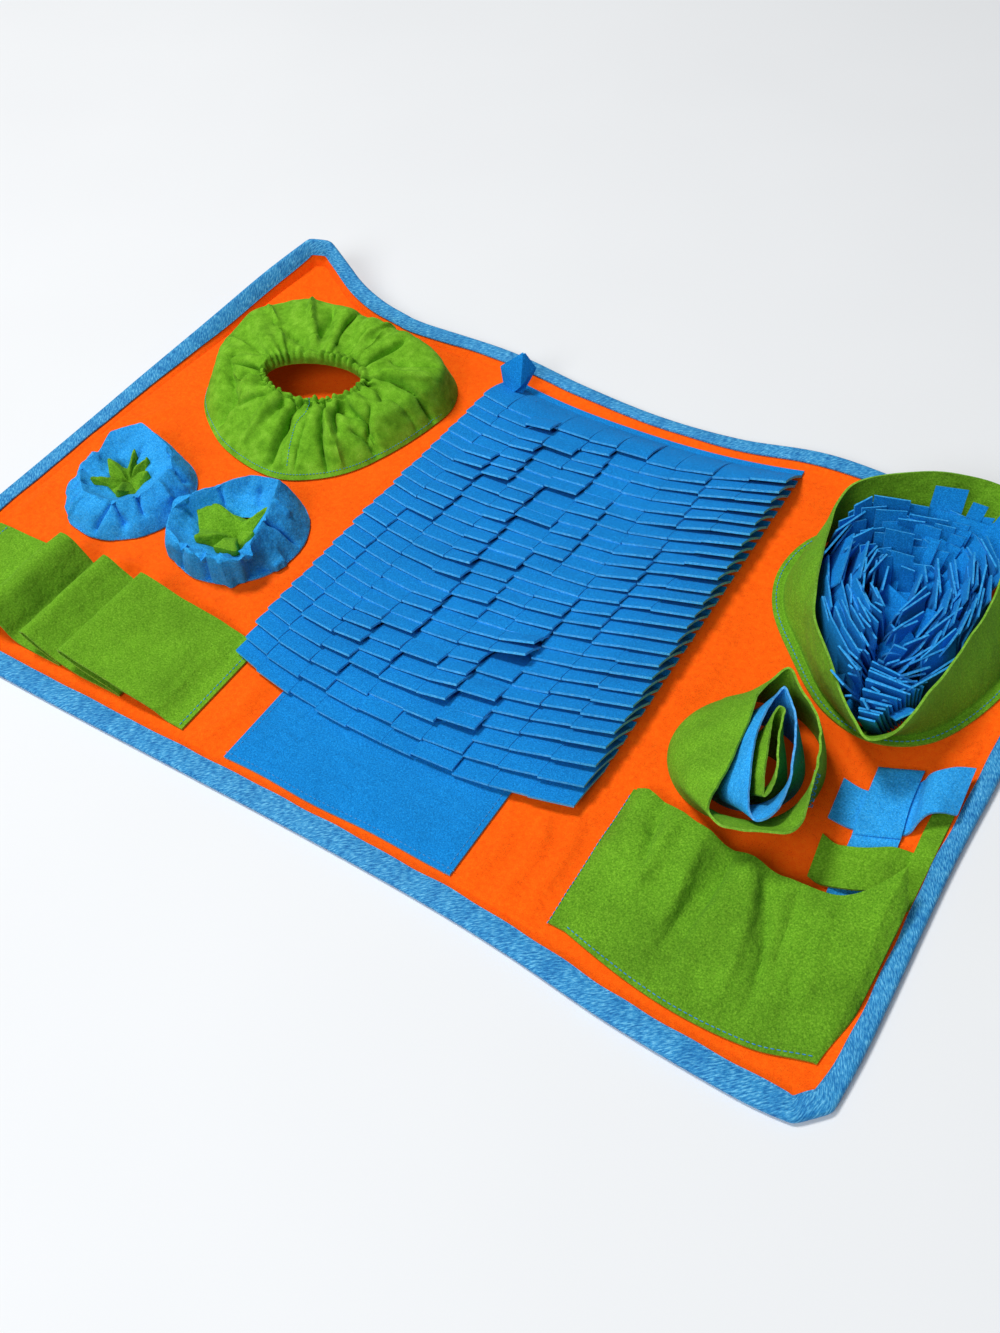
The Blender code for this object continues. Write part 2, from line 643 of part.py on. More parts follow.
def make_roll(name):
    roll = ROLLS[name]
    cx, cy, radius = roll["foot"]
    rows = [[] for _ in ROLL_LEVELS]
    for point, share in stations(roll["rim"], ROLL_AROUND, ROLL_CORNER):
        a = math.radians(90.0 + 360.0 * share)
        foot = Vector((cx + radius * math.cos(a), cy + radius * math.sin(a), SEWN_Z))
        top = Vector(point)
        for row, up in zip(rows, ROLL_LEVELS):
            p = foot.lerp(top, up ** (1.0 + ROLL_UPRIGHT))
            row.append(Vector((p.x, p.y, foot.z + (top.z - foot.z) * up)))
    grid_cloth(name, rows, FELT, cloth_material(roll["finish"], roll["colour"]), ring=True)


# ---------------------------------------------------------------- bellows pocket

# Sections across the pocket from its sewn front edge to its mouth.
# The right side rises to a crest whose mouth stands further back than its foot.
BELLOWS_COLUMNS = ("y_left", "y_right", "lift", "left_x", "crest_x", "crest_y", "crest", "foot_x", "foot_y")
BELLOWS = (
    (-201.0, -202.0, 0.0, 202.0, 352.5, -202.0, 0.3, 354.0, -202.0),
    (-188.0, -190.0, 2.0, 202.0, 353.5, -187.0, 1.5, 355.5, -190.0),
    (-165.0, -168.0, 5.5, 201.0, 355.5, -163.0, 6.0, 359.5, -171.0),
    (-140.0, -146.0, 8.0, 200.5, 353.5, -137.0, 11.0, 360.0, -154.0),
    (-118.0, -124.0, 10.0, 200.5, 351.5, -110.0, 17.0, 360.0, -134.0),
    (-98.0, -106.0, 11.0, 200.0, 352.5, -86.0, 26.0, 360.0, -113.0),
)
BELLOWS_ACROSS = 12
BELLOWS_BOW = 12.0        # the front and mouth edges run this far forward in the middle
BELLOWS_VALLEYS = ((0.36, 3.2, 0.06), (0.60, 2.6, 0.05))   # share across, depth, width
CREST_FROM = 0.78         # share across where the top starts to climb to the crest
CREST_OUT = 3.5           # the right side stands out this far half way down
FULL_LIFT = 8.0           # a pocket this high is fully open
LEFT_SIDE = ((-9.5, 0.0), (-7.5, 0.04), (-4.0, 0.28), (-1.5, 0.60))   # x and share of the lift, from its hem up
LEFT_OUT = 2.5            # its third line stands out this far where the pocket is open


def make_bellows():
    rows = []
    for y_left, y_right, lift, left_x, crest_x, crest_y, crest, foot_x, foot_y in BELLOWS:
        open_by = min(lift / FULL_LIFT, 1.0)
        row = []
        for n, (side_x, share) in enumerate(LEFT_SIDE):
            out = LEFT_OUT * open_by if n == 2 else 0.0
            row.append((left_x + side_x - out, y_left, SEWN_Z + lift * share))
        for k in range(BELLOWS_ACROSS + 1):
            share = k / BELLOWS_ACROSS
            climb = max(0.0, (share - CREST_FROM) / (1 - CREST_FROM)) ** 2
            x = left_x + 1.0 + (crest_x - left_x - 1.0) * share
            y = y_left + (y_right - y_left) * share - BELLOWS_BOW * math.sin(math.pi * share * 0.9)
            y += (crest_y - y) * climb
            valley = sum(deep * bump(share, at, wide) for at, deep, wide in BELLOWS_VALLEYS)
            top = lift * (0.70 + 0.45 * math.sin(math.pi * share)) - valley * open_by
            top += (crest - top) * climb
            row.append((x, y, SEWN_Z + max(top, rise_at(x, y))))
        half_down = max(crest * 0.5, rise_at(foot_x, foot_y) + 0.1)
        half_in = min((foot_x - crest_x) / 2, 2.0)
        row.append((foot_x - half_in + CREST_OUT * min(crest / 12.0, 0.6), (crest_y + foot_y) / 2, SEWN_Z + half_down))
        row.append((foot_x, foot_y, SEWN_Z + rise_at(foot_x, foot_y)))
        rows.append(row)
    grid_cloth("bellows_pocket", rows, FELT, cloth_material("green felt", GREEN))


# ---------------------------------------------------------------- weave

OVER = FELT + GAP + 0.2      # a strip that crosses over another lies this much higher
# Each strip: its colour and the two ends of each line across it, with the height of both.
WEAVE = {
    "weave_blue_across": (CUP_BLUE, "cup blue felt", (
        (295, -30, 0, 298, -60, 0), (310, -32, 0, 312, -61, 0), (322, -24, 0, 328, -57, 0),
        (335.5, -11, 0.2, 341, -50, 0.2), (339, -8, 7, 344.5, -43, 7), (343, -6, 11, 348, -38, 11),
        (350, 0, 12, 354, -34, 12), (360, 7, 9, 362, -29, 9))),
    "weave_green_across": (GREEN, "green felt", (
        (300, -72, 0, 304, -102, 0), (308, -75, 0.4, 311, -104, 0.4), (314, -75.5, OVER, 316.5, -104, OVER),
        (326, -72, 5, 328, -102, 5), (338, -64.5, 4.5, 340, -95.5, 4.5), (344.5, -61, OVER, 347, -91.5, OVER),
        (348.5, -59.5, 0.1, 351, -89.5, 0.1), (354, -58, 0, 355.5, -87.5, 0))),
    "weave_blue_along": (CUP_BLUE, "cup blue felt", (
        (309.5, -13, 0, 334.5, -3, 0), (310.2, -19, OVER, 334.5, -6.5, OVER),
        (312.5, -45, OVER, 336, -30, OVER), (314.5, -63, OVER, 339.5, -52.5, OVER),
        (315, -68, 0.1, 340, -57, 0.1), (317, -101, 0, 343.5, -97, 0), (317.5, -107, 0, 344, -104, 0))),
    "weave_green_along": (GREEN, "green felt", (
        (349, -18, 0, 360.5, -18, 0), (349, -44, 0, 360.5, -44, 0), (349.5, -54, OVER, 360.5, -50, OVER),
        (351, -93, OVER, 361, -90, OVER), (352, -99, OVER, 361, -97, OVER))),
}


def make_weave(name):
    colour, finish, lines = WEAVE[name]
    left, right = [], []
    for ax, ay, az, bx, by, bz in lines:
        left.append((ax, ay, SEWN_Z + max(az, rise_at(ax, ay))))
        right.append((bx, by, SEWN_Z + max(bz, rise_at(bx, by))))
    grid_cloth(name, [left, right], FELT, cloth_material(finish, colour))


# ---------------------------------------------------------------- build

make_mat()
for row_index in range(FIELD_ROWS):
    make_fringe_row(row_index)
make_patch()
make_gathered_pocket()
for cup_name in CUPS:
    make_cup(cup_name)
for heart_name in HEARTS:
    make_heart(heart_name)
make_pleated_strip()
make_pot()
for roll_name in ROLLS:
    make_roll(roll_name)
make_bellows()
for strip_name in WEAVE:
    make_weave(strip_name)
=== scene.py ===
# %% [markdown]
# # A snuffle mat in felt
# The real thing is an orange felt mat with a taped edge. A dog sniffs dry food out of the pieces
# sewn on it: a field of cut fringe, a gathered pocket, two flower cups, a pleated strip, a pot
# full of fringe, a nest of rolls, a bellows pocket and a small weave.
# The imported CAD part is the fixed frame. Every piece here is a finer cut of cloth on the same folds.

# %% Load the frame
import math
from functools import partial

import bpy
import numpy as np
from mathutils import Matrix, Vector


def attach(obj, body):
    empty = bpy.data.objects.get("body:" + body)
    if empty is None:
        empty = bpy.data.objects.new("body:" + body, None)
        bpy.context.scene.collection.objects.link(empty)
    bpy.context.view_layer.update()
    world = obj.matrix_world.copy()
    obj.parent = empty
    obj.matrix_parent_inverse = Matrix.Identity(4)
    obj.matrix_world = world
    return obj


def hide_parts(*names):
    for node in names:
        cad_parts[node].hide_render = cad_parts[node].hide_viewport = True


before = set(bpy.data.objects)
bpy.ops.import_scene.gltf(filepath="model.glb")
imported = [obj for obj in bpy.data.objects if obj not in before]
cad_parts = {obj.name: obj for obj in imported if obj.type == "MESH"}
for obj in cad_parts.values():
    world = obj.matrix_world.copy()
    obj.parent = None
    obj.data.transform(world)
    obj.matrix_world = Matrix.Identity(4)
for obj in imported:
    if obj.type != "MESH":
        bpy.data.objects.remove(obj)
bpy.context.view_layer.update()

# %% [markdown]
# Cloth is modelled as its middle surface, in millimetres, and Solidify gives it its thickness. The cut
# edge is a material of its own, lighter than the face: a painted highlight for the light that cut fibres catch.

# %% Sizes that all the pieces share
MM = 0.001
BASE_FELT, FELT, THIN, TAPE = 2.0, 1.5, 1.2, 1.0
GAP, TAPE_AIR = 0.35, 0.7
FLAT_Z = BASE_FELT / 2
EDGE_Z = TAPE + TAPE_AIR + BASE_FELT / 2
SEWN_Z = BASE_FELT + GAP + FELT / 2
print("sewn felt lies at", SEWN_Z, "mm")

# %% [markdown]
# Small repeatable numbers make one tab differ from the next. Soft wrinkles are a sum of a few
# long waves in different directions, which costs less than a noise texture and has no seams.

# %% Waves and chances
def chance(*shape, seed=1):
    return np.random.default_rng(seed).uniform(-1.0, 1.0, shape)


def waves(x, y, size, seed):
    """Smooth hills about size millimetres apart, between -1 and 1."""
    rng = np.random.default_rng(seed)
    out = np.zeros(np.broadcast(x, y).shape)
    for _ in range(7):
        way, shift = rng.uniform(0, 2 * math.pi, 2)
        length = size * rng.uniform(0.7, 1.6)
        out += np.sin((x * math.cos(way) + y * math.sin(way)) * 2 * math.pi / length + shift)
    return out / 4.0


def ripple(at, size, seed):
    """Waves that run one way only."""
    return waves(at, 0 * at, size, seed)


def bump(at, centre, width):
    return np.exp(-((at - centre) / width) ** 2)


def ease(v):
    v = np.clip(v, 0.0, 1.0)
    return v * v * (3.0 - 2.0 * v)


def turn_gap(a, b):
    return (a - b + 180.0) % 360.0 - 180.0


print("hills:", np.round(waves(np.arange(3.0), np.arange(3.0), 40.0, 1), 2))

# %% [markdown]
# Folds and seams are smooth lines through a few points that were measured on the photograph.
# Catmull-Rom passes through every point, so a table of points is also a list of where they are.

# %% Smooth lines through a table
def smooth_line(table, closed=False, steps=12):
    rows = np.asarray(table, float)
    n = len(rows)
    pick = (lambda i: i % n) if closed else (lambda i: np.clip(i, 0, n - 1))
    at = np.arange(n if closed else n - 1)
    p, q, r, w = (rows[pick(at + k)] for k in (-1, 0, 1, 2))
    t = (np.arange(steps) / steps)[:, None, None]
    fine = 0.5 * (2 * q + (r - p) * t + (2 * p - 5 * q + 4 * r - w) * t * t + (3 * q - p - 3 * r + w) * t ** 3)
    fine = fine.transpose(1, 0, 2).reshape(-1, rows.shape[1])
    return np.vstack([fine, fine[0] if closed else rows[-1]])


print("a smooth line has", len(smooth_line([(0, 0), (1, 1), (2, 0)])), "points")

# %% [markdown]
# Felt is pressed fibre: a mottle of light and dark patches two millimetres wide, and a fine
# nap that scatters light at the edge of a fold. Mottle and nap are Noise textures on Object
# coordinates, so that they stay put on the piece. Sheen is the light that stands in the nap. The orange
# dye is fluorescent, and the faint orange emission given to it is a painted glow that keeps its shadows light and
# warm.

# %% Felt and fleece
def node(tree, kind, inputs=(), out=0, **settings):
    """Add a node and give one output. inputs pairs a socket with a value or with another output."""
    made = tree.nodes.new(kind)
    for key, value in settings.items():
        setattr(made, key, value)
    for socket, value in dict(inputs).items():
        if hasattr(value, "links"):
            tree.links.new(value, made.inputs[socket])
        else:
            made.inputs[socket].default_value = value
    return made.outputs[out]


def noise(tree, coords, scale, detail, rough=0.6, stretch=(1, 1, 1)):
    at = node(tree, "ShaderNodeMapping", {"Vector": coords, "Scale": stretch})
    return node(tree, "ShaderNodeTexNoise",
                {"Vector": at, "Scale": scale, "Detail": detail, "Roughness": rough}, "Fac")


def ramp(tree, factor, stops):
    colour = node(tree, "ShaderNodeValToRGB", {"Fac": factor})
    elements = colour.node.color_ramp.elements
    while len(elements) < len(stops):
        elements.new(0.5)
    for element, (at, shade) in zip(elements, stops):
        element.position = at
        element.color = (*shade, 1.0)
    return colour


def bump_map(tree, height, strength, distance, **under):
    return node(tree, "ShaderNodeBump", {"Strength": strength, "Distance": distance, "Height": height, **under})


def material(name, coords):
    mat = bpy.data.materials.new(name)
    mat.use_nodes = True
    tree = mat.node_tree
    return mat, tree, tree.nodes["Principled BSDF"], node(tree, "ShaderNodeTexCoord", out=coords)


def finish(tree, shader, layers, normal, roughness, specular, sheen_roughness):
    """Multiply the colour layers, each a factor with its ramp, and set the surface."""
    colour, *others = [ramp(tree, factor, stops) for factor, stops in layers]
    for other in others:
        colour = node(tree, "ShaderNodeMix", {0: 1.0, 6: colour, 7: other}, 2,
                      data_type="RGBA", blend_type="MULTIPLY")
    tree.links.new(colour, shader.inputs["Base Color"])
    tree.links.new(normal, shader.inputs["Normal"])
    for label, value in (("Roughness", roughness), ("Specular IOR Level", specular), ("Sheen Weight", 0.08),
                         ("Sheen Roughness", sheen_roughness)):
        shader.inputs[label].default_value = value


def felt(name, dark, middle, light, mottle=420.0, nap=1400.0, bumps=0.4, cloud=0.06, painted_glow=None, crumple=0.0):
    mat, tree, shader, coords = material(name, "Object")
    patches, fibres = noise(tree, coords, mottle, 3.0, 0.65), noise(tree, coords, nap, 2.0, 0.7)
    layers = ((patches, ((0.30, dark), (0.50, middle), (0.72, light))),
              (fibres, ((0.30, [0.74] * 3), (0.70, [1.26] * 3))),
              (noise(tree, coords, 26.0, 3.0), ((0.30, [1 - cloud] * 3), (0.70, [1 + cloud] * 3))))
    under = {}
    if crumple:
        under["Normal"] = bump_map(tree, noise(tree, coords, 55.0, 3.0, 0.55), crumple, 0.006)
    height = node(tree, "ShaderNodeMath", {0: patches, 1: fibres}, operation="ADD")
    finish(tree, shader, layers, bump_map(tree, height, bumps, 0.0006, **under), 0.95, 0.15, 0.45)
    shader.inputs["Sheen Tint"].default_value = (*[min(1.0, 0.15 + c) for c in light], 1.0)
    # Painted glow: a faint emission that lifts the colour in shadow.
    if painted_glow:
        shader.inputs["Emission Color"].default_value = (*painted_glow, 1.0)
        shader.inputs["Emission Strength"].default_value = 0.06
    return mat


orange_felt = felt("orange felt", (0.90, 0.096, 0.001), (1.0, 0.116, 0.0015), (1.0, 0.138, 0.003), 300.0,
                   bumps=0.25, painted_glow=(1.0, 0.10, 0.001), crumple=0.18)
# Cut-edge felts: each is a lighter copy of its felt, a painted highlight where the cut edge catches the light.
orange_edge_highlight = felt("orange felt, cut edge, painted highlight", (0.80, 0.09, 0.004), (0.95, 0.14, 0.01), (1.0, 0.20, 0.02))
green_felt = felt("green felt", (0.092, 0.265, 0.008), (0.140, 0.365, 0.014), (0.220, 0.490, 0.030), 850.0,
                  cloud=0.14, crumple=0.5)
# The bellows pocket's felt is a darker copy of the green felt: painted shade.
bellows_shaded_green = felt("bellows green felt, painted shade", (0.072, 0.220, 0.008), (0.120, 0.322, 0.013), (0.205, 0.460, 0.028),
                     850.0, cloud=0.18, crumple=0.7)
green_edge_highlight = felt("green felt, cut edge, painted highlight", (0.13, 0.33, 0.018), (0.18, 0.42, 0.030), (0.28, 0.55, 0.07))
blue_felt = felt("cup blue felt", (0.013, 0.250, 0.68), (0.024, 0.345, 0.82), (0.065, 0.470, 0.93), 800.0,
                 cloud=0.14, crumple=0.6)
blue_edge_highlight = felt("cup blue felt, cut edge, painted highlight", (0.04, 0.28, 0.70), (0.08, 0.38, 0.82), (0.16, 0.50, 0.92))
blue_fleece = felt("deep blue fleece", (0.002, 0.165, 0.50), (0.004, 0.225, 0.65), (0.016, 0.330, 0.82), 1000.0)
fleece_edge_highlight = felt("deep blue fleece, cut edge, painted highlight", (0.04, 0.40, 0.82), (0.08, 0.52, 0.94), (0.18, 0.64, 1.0))
# A dimmer painted highlight for the cut edges of the tabs in the pot.
pot_edge_dim_highlight = felt("deep blue fleece, inner cut edge, dimmer painted highlight", (0.01, 0.26, 0.66), (0.03, 0.34, 0.78), (0.08, 0.44, 0.90))
print("felts:", len([m for m in bpy.data.materials if "felt" in m.name or "fleece" in m.name]))

# %% [markdown]
# The binding tape is a twill: fine slanted ribs that catch the light, and that light and shade is painted
# into the ribs' colour as well as bumped. Long patches of painted light and shade run along it. Its pattern has
# to follow the tape round the corners, so it reads the UV map, whose first number is the length along the tape and
# whose second is the way across it, both in metres. The thread is a plied cotton with a small twist.

# %% Tape and thread
def twill(name, dark, middle, light):
    mat, tree, shader, uv = material(name, "UV")
    slant = node(tree, "ShaderNodeMapping", {"Vector": uv, "Rotation": (0.0, 0.0, math.radians(-38.0))})
    # The ribs' light and dark colour is painted highlight and shade; the same noise also bumps them.
    ribs = noise(tree, slant, 1250.0, 2.0, 0.55, (0.22, 1.0, 1.0))
    # Long lighter and darker patches along the tape: painted light and shade.
    painted_light_patches = noise(tree, uv, 95.0, 2.0, 0.6, (1.0, 0.12, 1.0))
    layers = ((ribs, ((0.34, dark), (0.50, middle), (0.68, light))),
              (noise(tree, uv, 1500.0, 2.0, 0.7), ((0.25, [0.80] * 3), (0.75, [1.2] * 3))),
              (painted_light_patches, ((0.34, (0.62, 0.80, 0.88)), (0.56, (1.10, 1.06, 1.03)))))
    finish(tree, shader, layers, bump_map(tree, ribs, 0.5, 0.0004), 0.7, 0.2, 0.4)
    return mat


tape_twill = twill("light blue twill", (0.008, 0.15, 0.43), (0.032, 0.28, 0.61), (0.15, 0.53, 0.83))
blue_thread = felt("blue thread", (0.02, 0.20, 0.50), (0.06, 0.32, 0.66), (0.20, 0.52, 0.82), 900.0, 2500.0)
print("tape:", tape_twill.name, "thread:", blue_thread.name)

# %% [markdown]
# Every cut of cloth is a grid of points that follows its threads: rows one way, columns the other.
# Its UV map is that grid unrolled, in metres, which is how it lay on the cutting table. The grids are
# kept by name, so that a seam can be stitched along one of their rows or columns.

# %% Cloth from rows of points
grids = {}


def new_object(name, data):
    obj = bpy.data.objects.new(name, data)
    bpy.context.scene.collection.objects.link(obj)
    return obj


def keep_result(obj, modifier):
    """Put the modifier's result in place of the object's mesh."""
    made = bpy.data.meshes.new_from_object(obj.evaluated_get(bpy.context.evaluated_depsgraph_get()))
    obj.modifiers.remove(modifier)
    old, obj.data = obj.data, made
    bpy.data.meshes.remove(old)
    made.name = obj.name
    return made


def thicken(obj, thickness, highlight_slot, crisp=46.0):
    """Give a cloth its thickness, and keep cut edges and sharp folds crisp."""
    solid = obj.modifiers.new("thickness", "SOLIDIFY")
    # The rim takes the cut-edge material, which carries a painted highlight.
    solid.thickness, solid.offset, solid.material_offset_rim = thickness * MM, 0.0, highlight_slot
    keep_result(obj, solid).set_sharp_from_angle(angle=math.radians(crisp))
    return obj


def cloth(name, grid, materials, thickness=FELT, ring=False, lid=False):
    """grid is rows x columns x 3. ring closes every row, lid fills the last one."""
    grid = grids[name] = np.asarray(grid, float)
    rows, wide = grid.shape[:2]
    at = np.arange(rows * wide).reshape(rows, wide)
    right = np.roll(at, -1, axis=1)
    last = wide if ring else wide - 1
    quads = np.stack([at[:-1, :last], right[:-1, :last], right[1:, :last], at[1:, :last]], axis=-1)
    uvs = np.zeros((rows, wide, 2))
    uvs[:, 1:, 0] = np.linalg.norm(np.diff(grid, axis=1), axis=2).cumsum(1).mean(0)
    uvs[1:, :, 1] = np.linalg.norm(np.diff(grid, axis=0), axis=2).cumsum(0).mean(1)[:, None]
    mesh = bpy.data.meshes.new(name)
    mesh.from_pydata((grid.reshape(-1, 3) * MM).tolist(), [],
                     quads.reshape(-1, 4).tolist() + ([at[-1].tolist()] if lid else []))
    corner = np.empty(len(mesh.loops), dtype=np.int32)
    mesh.loops.foreach_get("vertex_index", corner)
    mesh.uv_layers.new(name="cloth").data.foreach_set(
        "uv", np.asarray(uvs.reshape(-1, 2) * MM, np.float32)[corner].ravel())
    mesh.shade_smooth()
    for look in materials:
        mesh.materials.append(look)
    return thicken(new_object(name, mesh), thickness, len(materials) - 1)


def wears(piece, nodes):
    """Attach a sheet to the root and hide the CAD nodes that it stands for."""
    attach(piece, "root")
    if nodes:
        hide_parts(*nodes)
    return piece


# %% [markdown]
# The camera was solved from the corners of the mat: its place, its three axes and its lens. A large
# soft lamp stands high on the left, a little behind. A white wall in front throws a little light
# back, and the white room fills the shadows.

# %% Camera, floor and light
camera_data = bpy.data.cameras.new("camera")
camera_data.lens, camera_data.sensor_width, camera_data.clip_start = 35.638, 36.0, 0.01
camera = new_object("camera", camera_data)
camera.matrix_world = Matrix(((0.83862, -0.36591, 0.40352, 0.41606),
                              (0.53830, 0.67008, -0.51111, -0.49753),
                              (-0.08337, 0.64584, 0.75891, 0.66007),
                              (0.0, 0.0, 0.0, 1.0)))
bpy.context.scene.camera = camera
bpy.context.scene.view_settings.view_transform = "Standard"

floor_mesh = bpy.data.meshes.new("floor")
floor_mesh.from_pydata([(-5, -5, 0), (5, -5, 0), (5, 5, 0), (-5, 5, 0)], [], [(0, 1, 2, 3)])
floor = new_object("floor", floor_mesh)
floor_paint, tree, shader, coords = material("pale floor", "Object")
grain = ramp(tree, noise(tree, coords, 3.0, 2.0), ((0.3, (0.83, 0.85, 0.875)), (0.7, (0.85, 0.87, 0.895))))
tree.links.new(grain, shader.inputs["Base Color"])
shader.inputs["Roughness"].default_value = 0.75
floor_mesh.materials.append(floor_paint)


def lamp(name, place, size, power, colour):
    """A round lamp that looks at the middle of the mat."""
    data = bpy.data.lights.new(name, "AREA")
    data.shape, data.size, data.energy, data.color = "DISK", size, power, colour
    obj = new_object(name, data)
    obj.location = place
    obj.rotation_euler = Vector(place).to_track_quat("Z", "Y").to_euler()


lamp("window", (-1.65, 0.1, 3.9), 1.1, 124.0, (1.0, 0.985, 0.96))
lamp("white wall", (-0.2, -2.6, 2.3), 2.0, 54.0, (0.97, 0.985, 1.0))
room = bpy.data.worlds.new("room")
bpy.context.scene.world = room
room.use_nodes = True
background = room.node_tree.nodes["Background"].inputs
background["Color"].default_value = (0.93, 0.96, 1.0, 1.0)
background["Strength"].default_value = 0.17
print("camera at", [round(v, 3) for v in camera.location])

# %% [markdown]
# The mat is one piece of felt. Its edge line was traced on the photograph: the back edge is drawn in
# by the sewn field, and the back left corner curls up. Each row is x, y, how far the edge stands up,
# how much lower the tape's inner side is, the tape's width, and 1 at the end of a cut corner.

# %% The edge of the mat
EDGE = (
    (-368, -212, 0, 0, 15, 1), (-355, -225, 0, 0, 15, 1), (-200, -226, 0, 0, 15, 0),
    (0, -224.5, 0, 0, 15, 0), (110, -225.5, 0, 0, 15, 0), (180, -229, 0, 0, 15, 0),
    (250, -236, 0.3, 0, 15, 0), (325, -238.5, 0, 0, 15, 0), (357, -236, 0, 0, 13.5, 1),
    (371.5, -221, 0.2, 0, 13, 1), (373, -190, 0.6, 0, 11, 0), (373, -150, 1.0, 0.6, 10.5, 0),
    (372, -60, 1.0, 0.6, 10.5, 0), (374, 20, 1.0, 0.6, 11, 0), (374, 110, 0.2, 0, 13, 0),
    (374, 212, 0, 0, 13, 1), (361, 225, 0, 0, 13, 1), (260, 228, 0.6, 0, 13, 0),
    (175, 230.5, 3.5, 2.5, 13, 0), (105, 219, 0.6, 0.4, 13, 0), (40, 216, 0, 0, 12.5, 0),
    (-30, 222, 0.6, 0.4, 13, 0), (-105, 232, 2.6, 2.0, 13, 0), (-190, 231, 4.6, 3.6, 13, 0),
    (-212, 232.5, 6.6, 4.5, 13, 0), (-234, 235.5, 9.2, 5.4, 13, 0), (-254, 240, 13.5, 6.4, 13, 0),
    (-269, 245, 18.0, 7.4, 13, 0), (-281, 250, 23.0, 8.4, 13, 0), (-294, 255, 29.0, 9.7, 13, 0),
    (-309, 260.5, 36.0, 11.0, 13.5, 1), (-327, 254, 37.0, 11.5, 14, 1), (-346, 212, 23.5, 11.0, 15, 0),
    (-358, 150, 12.5, 8.5, 15, 0), (-367, 70, 3.5, 3.0, 15, 0), (-369, -20, 0, 0, 15, 0),
)
EDGE_STEP = 2.4


def soften(ring, times):
    for _ in range(times):
        ring = (np.roll(ring, 1, 0) + 2 * ring + np.roll(ring, -1, 0)) / 4
    return ring


def edge_line():
    rows = []
    for i, b in enumerate(EDGE):
        c = EDGE[(i + 1) % len(EDGE)]
        a = b if b[5] else EDGE[i - 1]
        d = c if c[5] else EDGE[(i + 2) % len(EDGE)]
        count = max(2, math.ceil(math.dist(b[:2], c[:2]) / EDGE_STEP))
        part = smooth_line([a[:5], b[:5], c[:5], d[:5]], steps=count)
        rows.append(part[count:2 * count])
    return np.vstack(rows)


def unit(vectors):
    return vectors / np.linalg.norm(vectors, axis=-1, keepdims=True)


edge = soften(edge_line(), 5)
ahead = unit(np.roll(edge[:, :2], -1, 0) - np.roll(edge[:, :2], 1, 0))
normal = unit(soften(np.stack([-ahead[:, 1], ahead[:, 0]], 1), 26))
steep = edge[:, 3] / edge[:, 4]
inward = np.column_stack([normal * np.sqrt(1 - steep ** 2)[:, None], -steep])
rim = np.column_stack([edge[:, :2], EDGE_Z + edge[:, 2]])
upward = unit(np.cross(np.roll(rim, -1, 0) - np.roll(rim, 1, 0), inward))
print(len(edge), "stations round the mat")

# %% [markdown]
# Felt that was folded for shipping keeps soft creases. They are laid along the lines that
# show on the photograph, and they fade out under the sewn pieces, which hold the mat flat.

# %% Where the mat is free, and its creases
COVERED_BOXES = ((-102, -118, 174, 214), (-49, -205, 129, -120), (-352, -203, -83, -113),
                 (188, -216, 364, -88), (290, -110, 364, 10))
COVERED_ROUNDS = ((-213, 112, 105, 94), (-275, -45, 52, 52), (-171, -39, 53, 53),
                  (272, 92, 92, 100), (239, -46, 50, 50))
# Each crease: its two ends, its height and its width.
CREASES = (
    (150, -132, 168, -214, 1.5, 4.5), (165, -122, 186, -205, 1.2, 5.0), (138, -150, 140, -212, 1.0, 4.0),
    (176, 60, 190, -60, 1.0, 7.0), (182, 160, 178, 90, 1.2, 9.0), (-70, -132, -62, -208, 1.6, 5.0),
    (-78, -150, -90, -206, 1.0, 4.0), (-118, -100, -100, -20, 0.9, 4.5), (-212, -98, -240, -108, 1.3, 4.0),
    (-150, -98, -135, -112, 1.2, 3.5), (-330, -20, -300, 40, 1.0, 5.0), (-318, 60, -336, 10, 1.2, 5.0),
    (-345, -60, -335, -110, 1.0, 5.0), (-240, 12, -222, 22, 1.0, 3.5), (-112, 40, -104, 120, 0.9, 6.0),
    (-300, -110, -285, -100, 1.0, 3.0), (160, -215, 240, -222, 0.8, 3.0), (-60, -212, 60, -209, 0.9, 3.0),
    (176, -60, 182, -118, 1.1, 5.0), (-356, -40, -344, 40, 0.9, 6.0), (120, 212, 170, 190, 1.0, 6.0),
)


def free_share(x, y, soft=10.0):
    """0 under the sewn pieces, 1 well away from them."""
    gaps = [np.hypot(np.maximum(np.maximum(x0 - x, x - x1), 0), np.maximum(np.maximum(y0 - y, y - y1), 0))
            for x0, y0, x1, y1 in COVERED_BOXES]
    gaps += [np.maximum(np.hypot((x - cx) / rx, (y - cy) / ry) - 1.0, 0.0) * min(rx, ry)
             for cx, cy, rx, ry in COVERED_ROUNDS]
    return ease(np.minimum.reduce(gaps) / soft)


def along_and_off(x, y, line):
    """How far a place is along a line, from its first end, and how far off it to the side."""
    x0, y0, x1, y1 = line[:4]
    length = math.dist((x0, y0), (x1, y1))
    ux, uy = (x1 - x0) / length, (y1 - y0) / length
    return length, (x - x0) * ux + (y - y0) * uy, (x - x0) * uy - (y - y0) * ux


def ridge(x, y, line):
    """Height of one crease at a place: a soft ridge that fades at its two ends."""
    height, width = line[4:]
    length, run, off = along_and_off(x, y, line)
    off = off + 0.06 * length * np.sin(run / length * 5.0)
    return height * np.exp(-(off / width) ** 2) * ease(run / (0.3 * length)) * ease((length - run) / (0.3 * length))


def mat_rise(x, y):
    soft = 0.55 + 0.45 * waves(x, y, 95.0, 11) + 0.2 * waves(x, y, 34.0, 12)
    return free_share(x, y) * (1.3 * np.clip(soft, 0, None) + 1.9 * sum(ridge(x, y, line) for line in CREASES))


print("highest crease:", max(line[4] for line in CREASES), "mm")

# %% [markdown]
# The mat's rows run round it: along the tape, down the small step at the tape's inner side, over the
# curl at the corner, and on to the middle.

